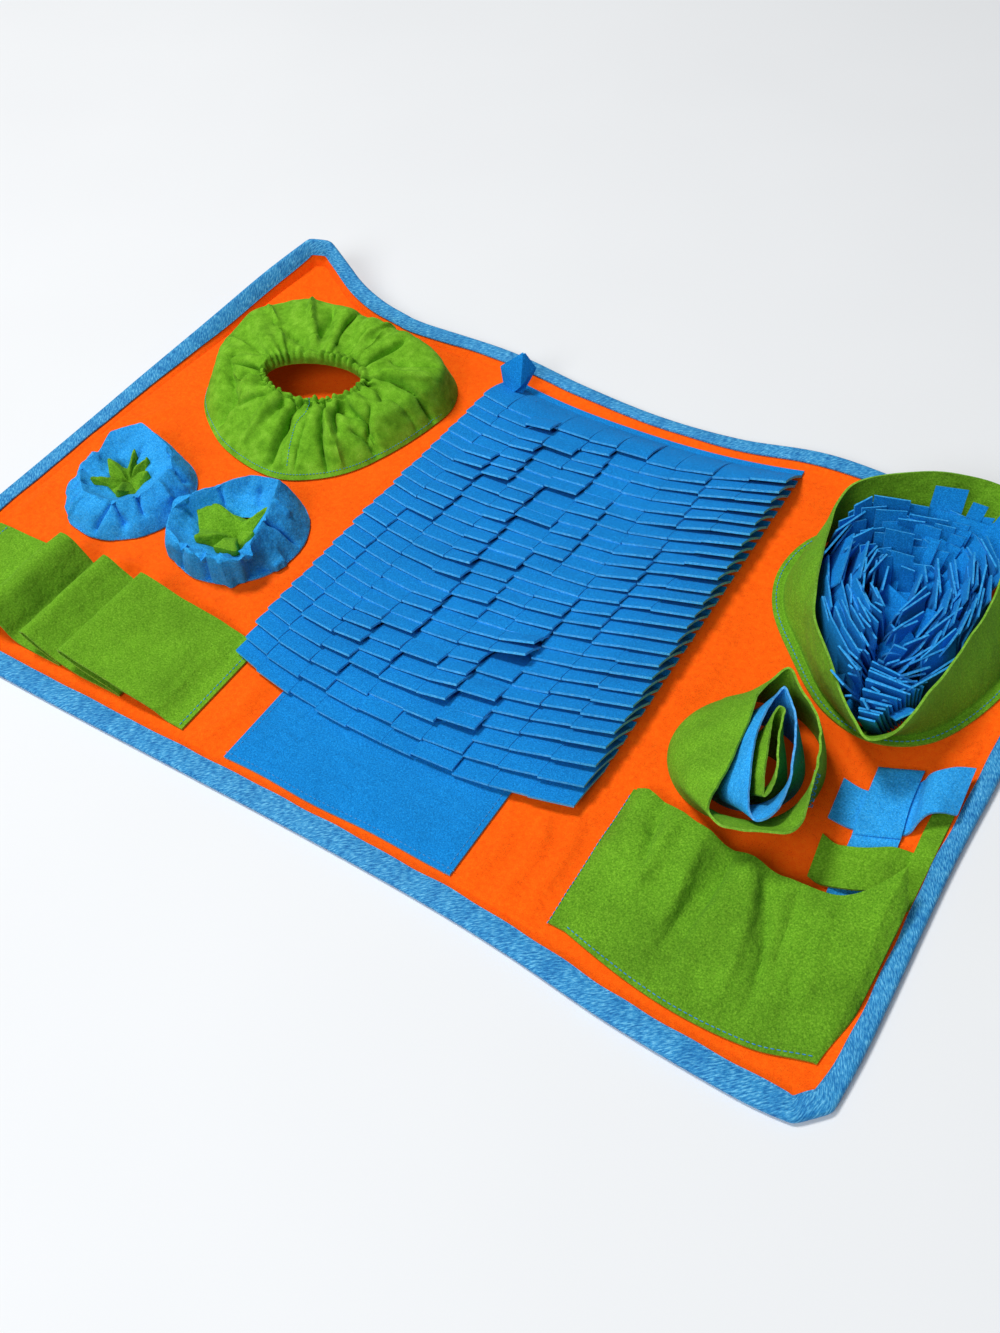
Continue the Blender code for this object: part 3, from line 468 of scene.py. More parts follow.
# %% Mat felt
HALF_SIZE = np.array((375.0, 225.0))
FLOOR_INSET, TAPE_SEAM, TAPE_STEP, STEP_EASE = 36.0, 1.0, 4.0, 0.85


def at_height(plan, z):
    return np.column_stack([plan, z + np.zeros(len(plan))])


seam_in = edge[:, 4:5] + TAPE_SEAM
rings = [rim + inward * depth for depth in (2.4, 6.0, seam_in)]
inner = rim + inward * (seam_in + TAPE_STEP)
curl = np.maximum(inner[:, 2] - EDGE_Z, 0.0) * STEP_EASE
half_step = (rings[-1] + inner) / 2
half_step[:, 2] = (rings[-1][:, 2] + FLAT_Z + curl) / 2
rings += [half_step, np.column_stack([inner[:, :2], FLAT_Z + curl])]
plain = edge[:, :2] * (1 - FLOOR_INSET / HALF_SIZE)
rings += [np.column_stack([inner[:, :2] * (1 - t) + plain * t, FLAT_Z + curl * (1 - t) ** 1.5])
          for t in np.linspace(0, 1, 10)[1:]]
rings += [at_height(plain * t, FLAT_Z) for t in np.linspace(1, 0.02, 64)[1:]]
grid = np.array(rings)[:, ::2]
grid[5:, :, 2] += mat_rise(grid[5:, :, 0], grid[5:, :, 1])
mat_felt = cloth("mat_felt", grid, (orange_felt, orange_edge_highlight), BASE_FELT, ring=True, lid=True)
wears(mat_felt, ["mat_base"])

# %% [markdown]
# The tape is folded over the edge, so its section is a U that runs round the mat. It was sewn on
# under tension: it puckers, and its inner edge wanders a little.

# %% Binding tape
half = BASE_FELT / 2 + TAPE_AIR + TAPE / 2
bend = TAPE + 1.0


def run_along(line):
    """How far each point of a line is from its start, along the line."""
    return np.concatenate([[0.0], np.cumsum(np.linalg.norm(np.diff(line, axis=0), axis=1))])


run = run_along(rim)
pucker = 0.5 * ripple(run, 17.0, 21) + 0.35 * ripple(run, 7.0, 22)
front_pull = 0.5 + 0.9 * ease((-edge[:, 1] - 150) / 60)
width = edge[:, 4] + 0.45 * ripple(run, 40.0, 23)
rows = [rim + inward * (bend + (width - bend) * share)[:, None] - upward * half for share in (1.0, 0.6, 0.2)]
rows += [rim + inward * (bend - 1.5 * math.cos(angle)) + upward * half * math.sin(angle)
         for angle in np.radians((-62, -25, 12, 50, 80))]
for share in (0.08, 0.2, 0.34, 0.48, 0.62, 0.74, 0.84, 0.91, 0.96, 1.0):
    depth = bend + (width - bend) * share
    puff = 0.35 * math.sin(math.pi * min(share, 0.9) / 0.9)
    seam = -0.3 * bump(share, 0.9, 0.05)
    swell = pucker * front_pull * math.sin(math.pi * share) * 0.55
    rows.append(rim + inward * depth[:, None] + upward * (half + puff + seam + np.maximum(swell, -0.3))[:, None])
binding_tape = cloth("binding_tape", np.array(rows), (tape_twill,), TAPE * 0.9, ring=True)
wears(binding_tape, ["binding"])

# %% [markdown]
# Fringe is what repeats most here. One Geometry Nodes tree cuts all of it: each point of the input
# that is marked as standing gets one tab, turned and sized by the point's own attributes, and the
# rest of the input is the sewn heading. Realize Instances makes the tabs plain mesh.

# %% Geometry Nodes: cut fringe
def new_tree(name, inputs):
    tree = bpy.data.node_groups.new(name, "GeometryNodeTree")
    tree.interface.new_socket("Geometry", in_out="INPUT", socket_type="NodeSocketGeometry")
    for label, kind, value in inputs:
        socket = tree.interface.new_socket(label, in_out="INPUT", socket_type=kind)
        if value is not None:
            socket.default_value = value
    tree.interface.new_socket("Geometry", in_out="OUTPUT", socket_type="NodeSocketGeometry")
    return tree, tree.nodes.new("NodeGroupInput").outputs, tree.nodes.new("NodeGroupOutput").inputs[0]


fringe_tree, given, result = new_tree("cut fringe", (
    ("Points across", "NodeSocketInt", 4), ("Points down", "NodeSocketInt", 8),
    ("Arch", "NodeSocketFloat", 0.0016), ("Cloth", "NodeSocketMaterial", None)))
add = partial(node, fringe_tree)


def times(a, b, kind="MULTIPLY"):
    return add("ShaderNodeMath", {0: a, 1: b}, operation=kind)


def stored(name, kind="FLOAT_VECTOR"):
    return add("GeometryNodeInputNamedAttribute", {"Name": name}, "Attribute", data_type=kind)


def scaled(name, by):
    return add("ShaderNodeVectorMath", {0: stored(name), "Scale": by}, operation="SCALE")


def added(a, b):
    return add("ShaderNodeVectorMath", {0: a, 1: b}, operation="ADD")


# A flat tab whose points know how far down it they are, and how far to the side. It arches a little.
tab = add("GeometryNodeMeshGrid", {
    "Vertices X": given["Points across"], "Vertices Y": given["Points down"]}, "Mesh")
place = add("ShaderNodeSeparateXYZ", {0: add("GeometryNodeInputPosition")}).node.outputs
down, aside = times(0.5, place["Y"], "SUBTRACT"), times(place["X"], 2.0)
for label, value in (("down", down), ("aside", aside)):
    tab = add("GeometryNodeStoreNamedAttribute", {"Geometry": tab, "Name": label, "Value": value}, "Geometry")
arch = times(times(times(down, times(1.0, down, "SUBTRACT")), 4.0), given["Arch"])
offset = add("ShaderNodeCombineXYZ", {"Y": -0.5, "Z": arch})
tab = add("GeometryNodeSetPosition", {"Geometry": tab, "Offset": offset}, "Geometry")

# One tab stands at each marked point. Made real, each is curled, twisted and leant by its own amounts.
planted = add("GeometryNodeInstanceOnPoints", {
    "Points": given["Geometry"], "Selection": stored("stands", "BOOLEAN"), "Instance": tab,
    "Rotation": stored("turn"), "Scale": stored("size")}, "Instances")
real = add("GeometryNodeRealizeInstances", {"Geometry": planted}, "Geometry")
down, aside = stored("down", "FLOAT"), stored("aside", "FLOAT")
move = added(added(scaled("curl", times(down, 3.0, "POWER")), scaled("twist", times(aside, down))),
             scaled("lean", aside))
bent = add("GeometryNodeSetPosition", {"Geometry": real, "Offset": move}, "Geometry")
heading = add("GeometryNodeDeleteGeometry", {
    "Geometry": given["Geometry"], "Selection": stored("stands", "BOOLEAN")}, "Geometry")
both = add("GeometryNodeJoinGeometry", {"Geometry": heading}, "Geometry")
fringe_tree.links.new(bent, both.node.inputs["Geometry"])
dressed = add("GeometryNodeSetMaterial", {"Geometry": both, "Material": given["Cloth"]}, "Geometry")
fringe_tree.links.new(dressed, result)
print("cut fringe:", len(fringe_tree.nodes), "nodes")

# %% [markdown]
# A modifier's inputs are set by the identifier of each socket, before the tree first runs. The result
# then takes the place of the input as a plain mesh, and the modifier goes.

# %% Run a tree on a mesh and keep the plain result
def run_tree(name, tree, points, faces=(), edges=(), attributes=(), values=()):
    mesh = bpy.data.meshes.new(name + "_input")
    mesh.from_pydata((np.asarray(points, float) * MM).tolist(), list(edges), list(faces))
    for label, kind, data in attributes:
        layer = mesh.attributes.new(label, kind, "POINT")
        data = np.asarray(data, np.float32 if kind != "BOOLEAN" else bool)
        layer.data.foreach_set("vector" if kind == "FLOAT_VECTOR" else "value", data.ravel())
    obj = new_object(name, mesh)
    modifier = obj.modifiers.new(tree.name, "NODES")
    modifier.node_group = tree
    sockets = {s.name: s.identifier for s in tree.interface.items_tree if s.in_out == "INPUT"}
    for label, value in values:
        modifier[sockets[label]] = value
    keep_result(obj, modifier).shade_smooth()
    return obj


def facing(across, towards):
    """Euler angles that lay a tab's X along across and its free end towards."""
    x = Vector(across).normalized()
    y = -(Vector(towards) - x * Vector(towards).dot(x)).normalized()
    return Matrix((x, y, x.cross(y))).transposed().to_euler()


def fringe(name, heading_points, heading_faces, tabs, edge_highlight_look, arch, down, thickness):
    """tabs: rows of (root, across, towards, width, length, curl, twist, lean) in millimetres."""
    roots, acrosses, ways, widths, lengths, *bends = zip(*tabs)
    vectors = {"turn": [tuple(facing(*ways_of)) for ways_of in zip(acrosses, ways)],
               "size": [(w * MM, l * MM, 1.0) for w, l in zip(widths, lengths)]}
    for label, bend_by in zip(("curl", "twist", "lean"), bends):
        vectors[label] = [tuple(np.asarray(b) * MM) for b in bend_by]
    plain = len(heading_points)
    attributes = [(label, "FLOAT_VECTOR", [(0.0, 0.0, 0.0)] * plain + rows) for label, rows in vectors.items()]
    attributes.append(("stands", "BOOLEAN", [False] * plain + [True] * len(tabs)))
    obj = run_tree(name, fringe_tree, list(heading_points) + list(roots), heading_faces, attributes=attributes,
                   values=(("Arch", arch * MM), ("Points down", down), ("Cloth", blue_fleece)))
    # The tabs' cut edges take the painted-highlight material.
    obj.data.materials.append(edge_highlight_look)
    return thicken(obj, thickness, 1)


print("a tab turned to the front:", [round(v, 2) for v in facing((1, 0, 0), (0, -1, 0.4))])

# %% [markdown]
# The field has 26 rows of fringe. A row is sewn along its back edge, bows back at its two ends, and
# its tabs lie on the rows in front of it like shingles. The cuts were made through all rows at once,
# so they line up in columns. Tips of neighbours stand at one height, except along a few breaks where
# the tabs to the left of a cut were brushed up. A brushed-up tab throws a dark gap beside it.

# %% Fringe field
FIELD_ROWS, FIELD_PITCH, FIELD_BACK, FIELD_SPREAD = 26, 11.95, 194.0, 6.0
FIELD_X = (-93.0, 165.0)
HEADING, TAB, STACK_ANGLE, FRONT_ANGLES = 5.5, 37.0, 24.0, (9.0, 17.0, 20.5, 22.5)
TABS, HEADING_POINTS = 10, 40
BOW_MIDDLE, BOW_REACH, BOW_DEPTH = 33.0, 130.0, 15.0
FIELD_TAB = (0.5, 9, 1.7)     # how far a tab arches, its points down, its thickness
# Each break: x at its front row, x at its back row, the two rows, how far the tips to its left stand up.
FIELD_BREAKS = ((-6, -8, 19, 24, 7.0), (-33, -36, 14, 20, 4.5), (18, 22, 11, 19, 7.5), (68, 70, 15, 20, 4.5),
                (22, 24, 4, 9, 8.0), (-6, -8, 1, 6, 7.5), (93, 92, 6, 12, 4.0), (64, 82, 3, 8, 9.0),
                (96, 100, 1, 4, 6.0), (44, 42, 9, 14, 4.0), (-60, -58, 2, 8, 2.5), (46, 30, 20, 26, 5.0),
                (118, 112, 10, 17, 3.0), (121, 120, 20, 26, 3.0), (-58, -62, 9, 13, 2.5))
# Row, tab from the left, how far it arches up, and how far it is turned.
BRUSHED_UP = ((0, 6, 4.0, 0.1), (1, 4, 3.0, -0.1), (2, 6, 7.0, 0.2), (4, 6, 6.0, -0.15), (5, 4, 5.0, 0.2),
              (13, 4, 3.0, 0.15), (17, 4, 4.0, -0.1), (20, 4, 4.0, 0.2),
              (24, 2, 5.0, 0.3), (23, 3, 6.0, 0.2), (25, 5, 5.0, -0.2), (3, 3, 4.0, 0.1), (6, 3, 3.5, -0.2))


def field_bow(x):
    reach = np.abs(np.asarray(x) - BOW_MIDDLE) / BOW_REACH
    return BOW_DEPTH * np.minimum(reach, 1.15) ** 2.4


def tip_height(x, centre, index):
    """How far the tip line of a row stands up at x, for a tab with this centre."""
    high = 1.1 * float(waves(np.array(x), np.array(index * 9.0), 110.0, 31))
    high += 8.5 * float(ease((x - 70.0) / 95.0))
    for x_front, x_back, first, last, rise in FIELD_BREAKS:
        at = x_front + (x_back - x_front) * (index - first) / (last - first)
        if centre < at:
            within = float(ease((index - first + 1.5) / 2.0) * ease((last + 1.5 - index) / 2.0))
            high += rise * within * math.exp(-max(at - x, 0.0) / 30.0)
    return high


def field_cuts(x0, x1, index, odd):
    k = np.arange(TABS + 1)
    drift = 3.0 * waves(k * 60.0, 0 * k + index * 9.0, 120.0, 32) + 0.7 * odd[:, 0]
    drift[[0, -1]] = 0.8 * odd[[0, -1], 0]
    return x0 + (x1 - x0) * k / TABS + drift


def fringe_row(index):
    back = FIELD_BACK - (FIELD_ROWS - 1 - index) * FIELD_PITCH
    root = back - HEADING
    spread = FIELD_SPREAD * (0.5 - index / (FIELD_ROWS - 1))
    x0, x1 = FIELD_X[0] - spread, FIELD_X[1] + spread
    odd = chance(TABS + 1, 6, seed=100 + index)
    cuts = field_cuts(x0, x1, index, odd)
    xs = np.linspace(x0, x1, HEADING_POINTS)
    line = at_height(np.column_stack([xs, back + field_bow(xs)]), SEWN_Z)
    front = line - (0, HEADING + 0.3, 0)
    faces = [(k, k + HEADING_POINTS, k + HEADING_POINTS + 1, k + 1) for k in range(HEADING_POINTS - 1)]
    slope = math.radians(FRONT_ANGLES[index] if index < len(FRONT_ANGLES) else STACK_ANGLE)
    up = np.array((0.0, math.sin(slope), math.cos(slope)))
    tabs = []
    for k in range(TABS):
        left, right = cuts[k] + 0.15, cuts[k + 1] - 0.15
        x, w = (left + right) / 2, right - left
        share = min(1.0, 0.4 + index / 4.0)
        high = share * np.array([tip_height(v, x, index) for v in (left, right)])
        extra, yaw = next(((c, t) for r, n, c, t in BRUSHED_UP if (r, n) == (index, k)), (0.0, 0.0))
        bow = field_bow([left, x, right])
        towards = np.array((0.03 * odd[k, 3] + yaw, -math.cos(slope), math.sin(slope)))
        towards += up * (high.mean() + extra) / TAB
        length = TAB + 0.8 * odd[k, 2] + 1.2 * float(waves(np.array(x), np.array(index * 7.0), 70.0, 33))
        press = 3.7 + 0.6 * odd[k, 4] if index else 1.2
        tabs.append(((x, root + bow[1], SEWN_Z), (1, 0, 0), towards, w, length, up * -(press + 0.45 * extra),
                     up * ((high[1] - high[0]) / 2 + 0.25 * odd[k, 5]), (0, (bow[2] - bow[0]) / 2, 0)))
    row = fringe(f"fringe_row_{index + 1:02d}_cloth", np.vstack([line, front]), faces, tabs, fleece_edge_highlight,
                 *FIELD_TAB)
    return wears(row, [f"fringe_row_{index + 1:02d}"])


for row_index in range(FIELD_ROWS):
    fringe_row(row_index)

# %% [markdown]
# The flat patch at the front is a plain rectangle of the same fleece, sewn down all round. It has the
# shallow puckers that sewing leaves.

# %% Front patch
PATCH_X, PATCH_Y, PATCH_HEM = (-47.0, 127.0), (-203.0, -124.5), 9
PATCH_CREASES = ((-24, -130, -36, -200, 0.8, 2.2), (-10, -140, -20, -202, 0.6, 2.0), (62, -188, 60, -203, 0.9, 2.5),
                 (20, -196, 26, -203, 0.8, 2.5), (-40, -165, -10, -172, 0.5, 2.5), (96, -190, 100, -203, 0.6, 3.0))


def hills(grid, size, seed, upright=0):
    """Waves over a cloth. On an upright cloth its height counts too."""
    return waves(grid[..., 0], grid[..., 1] + upright * grid[..., 2], size, seed)


ys, xs = np.meshgrid(np.linspace(*PATCH_Y, 70), np.linspace(*PATCH_X, 150), indexing="ij")
inside = ease(np.minimum(xs - PATCH_X[0], PATCH_X[1] - xs) / PATCH_HEM) * ease((ys - PATCH_Y[0]) / PATCH_HEM)
relief = 0.45 + 0.35 * waves(xs, ys, 46.0, 41) + 0.3 * waves(xs, 1.6 * ys, 17.0, 42)
relief += sum(ridge(xs, ys, crease) for crease in PATCH_CREASES)
wander = 0.7 * ripple(xs, 60.0, 43) * ease((-150 - ys) / 50)
grid = np.stack([xs, ys + wander, SEWN_Z + np.clip(relief, 0.0, None) * inside], axis=-1)
front_patch_cloth = cloth("front_patch_cloth", grid, (blue_fleece, fleece_edge_highlight))
wears(front_patch_cloth, ["front_patch"])

# %% [markdown]
# A fold that was traced on the photograph is a line in plan. It pushes the cloth in or out along its
# own normal, so that it also works on a wall. The push is sharp in the middle, as a crease in felt is.

# %% Folds along traced lines
def normals_of(grid, ring=False):
    across = np.roll(grid, -1, 1) - np.roll(grid, 1, 1) if ring else np.gradient(grid, axis=1)
    out = np.cross(across, np.gradient(grid, axis=0))
    return out / np.maximum(np.linalg.norm(out, axis=2, keepdims=True), 1e-9)


def push_out(grid, amount, ring=False):
    """Move each point along the cloth's normal."""
    return grid + normals_of(grid, ring) * amount[..., None]


def fold(x, y, line):
    """Push of one crease at a place. line: its two ends, its push and its width."""
    push, width = line[4:]
    length, run, off = along_and_off(x, y, line)
    run = run / length
    off = np.abs(off + 0.04 * length * np.sin(run * 4.0 + line[0]))
    taper = width * (1.15 - 0.6 * np.clip(run, 0, 1))
    return push * np.exp(-(off / taper) ** 1.5) * ease((run + 0.12) / 0.2) * ease((1.08 - run) / 0.35)


def fold_in(grid, lines, ring=False, shares=1.0):
    return push_out(grid, sum(fold(grid[..., 0], grid[..., 1], line) for line in lines) * shares, ring)


def through_rows(rows, steps):
    """Smooth surface through a few rings of points: rows x columns x 3 -> more rows."""
    rows = np.asarray(rows, float)
    flat = rows.reshape(len(rows), -1)
    return smooth_line(flat, steps=steps).reshape(-1, *rows.shape[1:])


print("a fold pushes by", round(float(fold(np.array(5.0), np.array(0.0), (0, 0, 10, 0, -4, 2))), 2))

# %% [markdown]
# A round piece is drawn by its headings: at each of a few hundred spokes about its centre, a traced
# outline says how far out the cloth is and how high it stands.

# %% Headings round a piece
def spokes(count):
    """Headings all round, in degrees and in radians."""
    headings = np.arange(count) * 360.0 / count
    return headings, np.radians(headings)


def circle(cx, cy, radius, a):
    return at_height(np.column_stack([cx + radius * np.cos(a), cy + radius * np.sin(a)]), SEWN_Z)


def by_heading(ring, centre):
    """A ring's points in the order of their headings about a centre, wrapped round at both ends."""
    known = np.degrees(np.arctan2(ring[:, 1] - centre[1], ring[:, 0] - centre[0])) % 360.0
    order = np.argsort(known)
    known, ring = known[order], ring[order]
    return (np.concatenate([known[-1:] - 360.0, known, known[:1] + 360.0]),
            np.vstack([ring[-1:], ring, ring[:1]]))


def at_headings(centre, table, headings, steps=12):
    """The closed line of a table, read at headings in degrees about a centre."""
    known, fine = by_heading(smooth_line(table, True, steps)[:-1], centre)
    return np.stack([np.interp(np.asarray(headings) % 360.0, known, column) for column in fine.T], axis=1)


print("four spokes:", spokes(4)[0])

# %% [markdown]
# The gathered pocket is a round of thinner, smoother cloth. Its rim is sewn to the mat and an elastic
# draws its mouth together, so deep creases run out from the mouth and fine gathers stand round it.

# %% Gathered pocket
green_cloth = felt("green cloth", (0.100, 0.290, 0.009), (0.155, 0.410, 0.016), (0.225, 0.520, 0.032),
                   120.0, 1500.0, 0.3)
POCKET_CENTRE = (-213.0, 112.0)
POCKET_SEAM = (
    (-113, 127), (-112, 155), (-127, 180), (-155, 196), (-190, 203), (-230, 203), (-264, 196),
    (-292, 179), (-311, 152), (-316, 112), (-300, 69), (-262, 38), (-225, 24), (-187, 21),
    (-160, 33), (-138, 55), (-123, 88),
)
POCKET_CREST = (
    (-124, 122, 33), (-117, 154, 36), (-132, 172, 38), (-155, 180, 40), (-191, 185, 41),
    (-236, 189, 41), (-268, 187, 40), (-291, 177, 38), (-307, 158, 37), (-312, 132, 36),
    (-306, 102, 34), (-289, 78, 33), (-262, 64, 33), (-225, 55, 34), (-186, 54, 34),
    (-155, 66, 33), (-138, 84, 32), (-129, 103, 32),
)
HOLE_CENTRE, HOLE_RADII, HOLE_TURN = (-208.0, 105.0), (42.0, 22.0), math.radians(14.0)
MOUTH_HEIGHT, CUFF = 36.0, 7.0
LOW_SIDE = 285.0     # the heading of its low front side
SHALLOW = ((8, 5, 8), (40, 4, 8), (68, 7, 8), (92, 7, 7), (118, 5, 9), (143, 4, 8),
           (172, 5, 10), (212, 7, 10), (248, 4, 8), (265, 8, 6), (292, 5, 8), (334, 6, 8))
POCKET_FOLDS = (
    (-206, 80, -194, 24, -13.0, 4.2), (-186, 86, -150, 40, -9.0, 3.0), (-172, 90, -158, 64, -9.0, 3.6),
    (-200, 84, -164, 16, -2.2, 1.3), (-212, 82, -178, 22, -1.6, 1.6), (-150, 76, -106, 74, -7.0, 2.4),
    (-108, 77, -104, 92, -4.5, 2.6), (-156, 123, -103, 134, -8.0, 2.4), (-170, 92, -128, 80, -7.0, 2.6),
    (-149, 98, -134, 76, -5.0, 2.2), (-200, 138, -204, 170, -10.0, 4.0), (-180, 131, -164, 172, -11.0, 3.8),
    (-161, 145, -122, 158, -6.0, 2.4), (-226, 137, -274, 186, 5.5, 3.0), (-254, 122, -300, 166, 5.5, 3.2),
    (-256, 62, -290, 94, -7.0, 5.0), (-261, 46, -267, 72, -6.0, 3.5), (-243, 91, -278, 90, -7.0, 3.0),
    (-231, 144, -248, 182, -6.0, 3.6), (-142, 108, -156, 118, -5.0, 2.4), (-122, 60, -112, 66, -3.0, 2.0),
    (-245, 79, -280, 84, 4.0, 2.6), (-260, 108, -298, 92, -6.0, 3.0), (-240, 130, -288, 152, -6.0, 3.0),
    (-213, 144, -224, 188, -6.5, 3.2), (-190, 140, -182, 182, 4.5, 3.0), (-160, 131, -116, 146, 4.0, 3.4),
    (-178, 82, -144, 48, 5.0, 3.6), (-222, 78, -228, 38, 4.0, 4.5), (-232, 76, -262, 52, -5.0, 3.6),
    (-205, 142, -190, 196, 3.0, 3.0), (-166, 118, -112, 112, -3.5, 3.0), (-248, 100, -306, 118, 3.5, 4.0),
)
pocket_columns = 420
headings, a = spokes(pocket_columns)
to_front = turn_gap(headings, LOW_SIDE)
foot = at_height(at_headings(POCKET_CENTRE, POCKET_SEAM, headings), SEWN_Z)
crest = at_headings(POCKET_CENTRE, POCKET_CREST, headings)
hx, hy = HOLE_RADII[0] * np.cos(a - HOLE_TURN), HOLE_RADII[1] * np.sin(a - HOLE_TURN)
mouth = np.column_stack([HOLE_CENTRE[0] + hx * math.cos(HOLE_TURN) - hy * math.sin(HOLE_TURN),
                         HOLE_CENTRE[1] + hx * math.sin(HOLE_TURN) + hy * math.cos(HOLE_TURN),
                         MOUTH_HEIGHT - 8.0 * bump(to_front, 0.0, 62.0)])
outwards = np.column_stack([np.cos(a), np.sin(a), 0 * a])
crease = sum(depth * bump(turn_gap(headings, at), 0.0, wide) for at, depth, wide in SHALLOW)


def lift(z):
    return np.column_stack([0 * a, 0 * a, z + 0 * a])


drawn_in = (1.0 + np.clip(np.cos(a - math.radians(LOW_SIDE)), 0, None)) * 5.0
crest = crest - outwards * drawn_in[:, None] - lift(7.0 * bump(to_front, 0.0, 75.0))
shelf = (crest + mouth) / 2 + lift(2.5 - crease)
near = mouth + (shelf - mouth) * 0.22 + lift(1.0)
grid = through_rows([foot, foot + (crest - foot) * 0.45 + lift(2.0), crest - lift(crease * 0.7), shelf, near,
                     mouth, mouth - lift(CUFF)], 9)
rows = np.linspace(0.0, 6.0, len(grid))[:, None]
hang = ease(rows / 0.6) * ease((5.6 - rows) / 0.6)
grid = fold_in(grid, POCKET_FOLDS, True, ease(rows / 0.5) * ease((4.9 - rows) / 0.5))
wrinkle = 0.5 * hills(grid, 30.0, 51) + 0.28 * hills(grid, 11.0, 52, 1)
gather_at = 44 * a + 1.4 * np.sin(3 * a + 1.0) + 0.9 * np.sin(7 * a)
gathers = (0.6 + 0.4 * np.sin(5 * a + 0.7)) * np.sin(gather_at) + 0.45 * np.sin(0.61 * gather_at + 1.0)
reach = bump(rows, 4.35, 0.6) * 2.3 + bump(rows, 5.2, 0.5) * 0.9
far_gathers = (np.sin(gather_at * 0.41 + 0.8) + 0.7 * np.sin(gather_at * 0.27)) * bump(rows, 3.3, 0.8) * 1.5
grid = push_out(grid, hang * wrinkle + gathers[None, :] * reach + far_gathers, True)
grid[..., 2] += bump(rows, 4.6, 0.3) * 1.4 - bump(rows, 4.05, 0.16) * 1.4
gathered_cloth = cloth("gathered_pocket_cloth", grid, (green_cloth, green_edge_highlight), THIN, ring=True)
wears(gathered_cloth, ["gathered_pocket"])

# %% [markdown]
# Each flower cup is a round of blue felt, sewn down and turned in at its mouth. Its folds are sharp,
# as folded paper's are, so the lines between its corners stay straight and only its wall is curved.

# %% Flower cups
CUP_CREASING, CUP_DROP = 1.9, 7.0     # how deep the traced folds are pressed in, and the fall past the edge
CUPS = {
    "cup_left": {
        "heart": (-277.0, -44.0),
        "seam": (-275.0, -45.0, 50.0),
        "ridge": ((-247, -22, 25), (-262, -8, 27), (-297, 1, 30), (-313, -18, 29), (-310, -36, 24),
                  (-315, -53, 22), (-290, -74, 23), (-258, -72, 25), (-243, -52, 26)),
        "mouth": ((-262, -34, 24), (-276, -25, 25), (-299, -28, 23), (-296, -44, 21), (-290, -54, 20),
                  (-272, -61, 21), (-260, -52, 22)),
        "folds": ((-318, -70, -306, -62, 1.3, 2.0), (-313, -76, -302, -66, -1.2, 1.6),
                  (-308, -82, -298, -70, 1.3, 2.0), (-302, -86, -294, -74, -1.2, 1.6),
                  (-296, -89, -289, -77, 1.2, 1.8), (-322, -58, -308, -54, -1.2, 1.8),
                  (-322, -40, -306, -40, 1.4, 2.2), (-268, -92, -262, -72, -2.6, 2.2),
                  (-246, -80, -262, -72, -3.2, 2.4), (-238, -66, -250, -58, -2.4, 2.2),
                  (-232, -44, -244, -42, 2.0, 3.0), (-236, -22, -250, -24, -3.0, 2.4),
                  (-262, -6, -254, -18, -1.8, 2.0), (-300, -64, -290, -58, -1.6, 2.0),
                  (-286, -14, -284, -26, -1.4, 2.0)),
    },
    "cup_right": {
        "heart": (-170.0, -48.0),
        "seam": (-171.0, -39.0, 51.0),
        "ridge": ((-141, -34, 32), (-153, -5, 35), (-176, -11, 35), (-211, -54, 32), (-203, -76, 24),
                  (-168, -88, 28), (-130, -79, 30)),
        "mouth": ((-146, -42, 27), (-157, -22, 29), (-176, -27, 27), (-203, -50, 25), (-190, -66, 23),
                  (-166, -72, 23), (-142, -68, 25)),
        "folds": ((-138, -40, -122, -30, -2.8, 2.2), (-124, -58, -134, -76, -3.2, 2.6),
                  (-122, -48, -126, -62, 2.2, 3.0), (-186, -88, -168, -76, -2.2, 2.0),
                  (-202, -78, -180, -88, 1.6, 2.6), (-160, -90, -158, -78, -2.6, 2.2),
                  (-214, -62, -206, -44, -1.8, 2.2), (-166, -14, -160, -24, -1.8, 2.2),
                  (-190, -28, -184, -36, -1.4, 2.2), (-146, -88, -140, -76, 2.0, 2.6),
                  (-136, -20, -146, -22, 1.6, 2.4)),
    },
}


def ring_of_corners(table, headings, centre):
    """Straight lines between the corners of a table, with a little softness at each."""
    known, corners = by_heading(np.asarray(table, float), centre)
    at = np.searchsorted(known, headings, side="right") - 1
    p, q = corners[at], corners[np.minimum(at + 1, len(corners) - 1)]
    ways = np.radians(headings)
    way_x, way_y = np.cos(ways), np.sin(ways)
    (step_x, step_y), (to_x, to_y) = (q - p)[:, :2].T, (np.array(centre) - p[:, :2]).T
    cross = step_x * way_y - step_y * way_x
    share = (to_x * way_y - to_y * way_x) / np.where(abs(cross) < 1e-9, 1e-9, cross)
    straight = p + (q - p) * np.clip(share, 0, 1)[:, None]
    return soften(0.75 * straight + 0.25 * at_headings(centre, table, headings), 1)


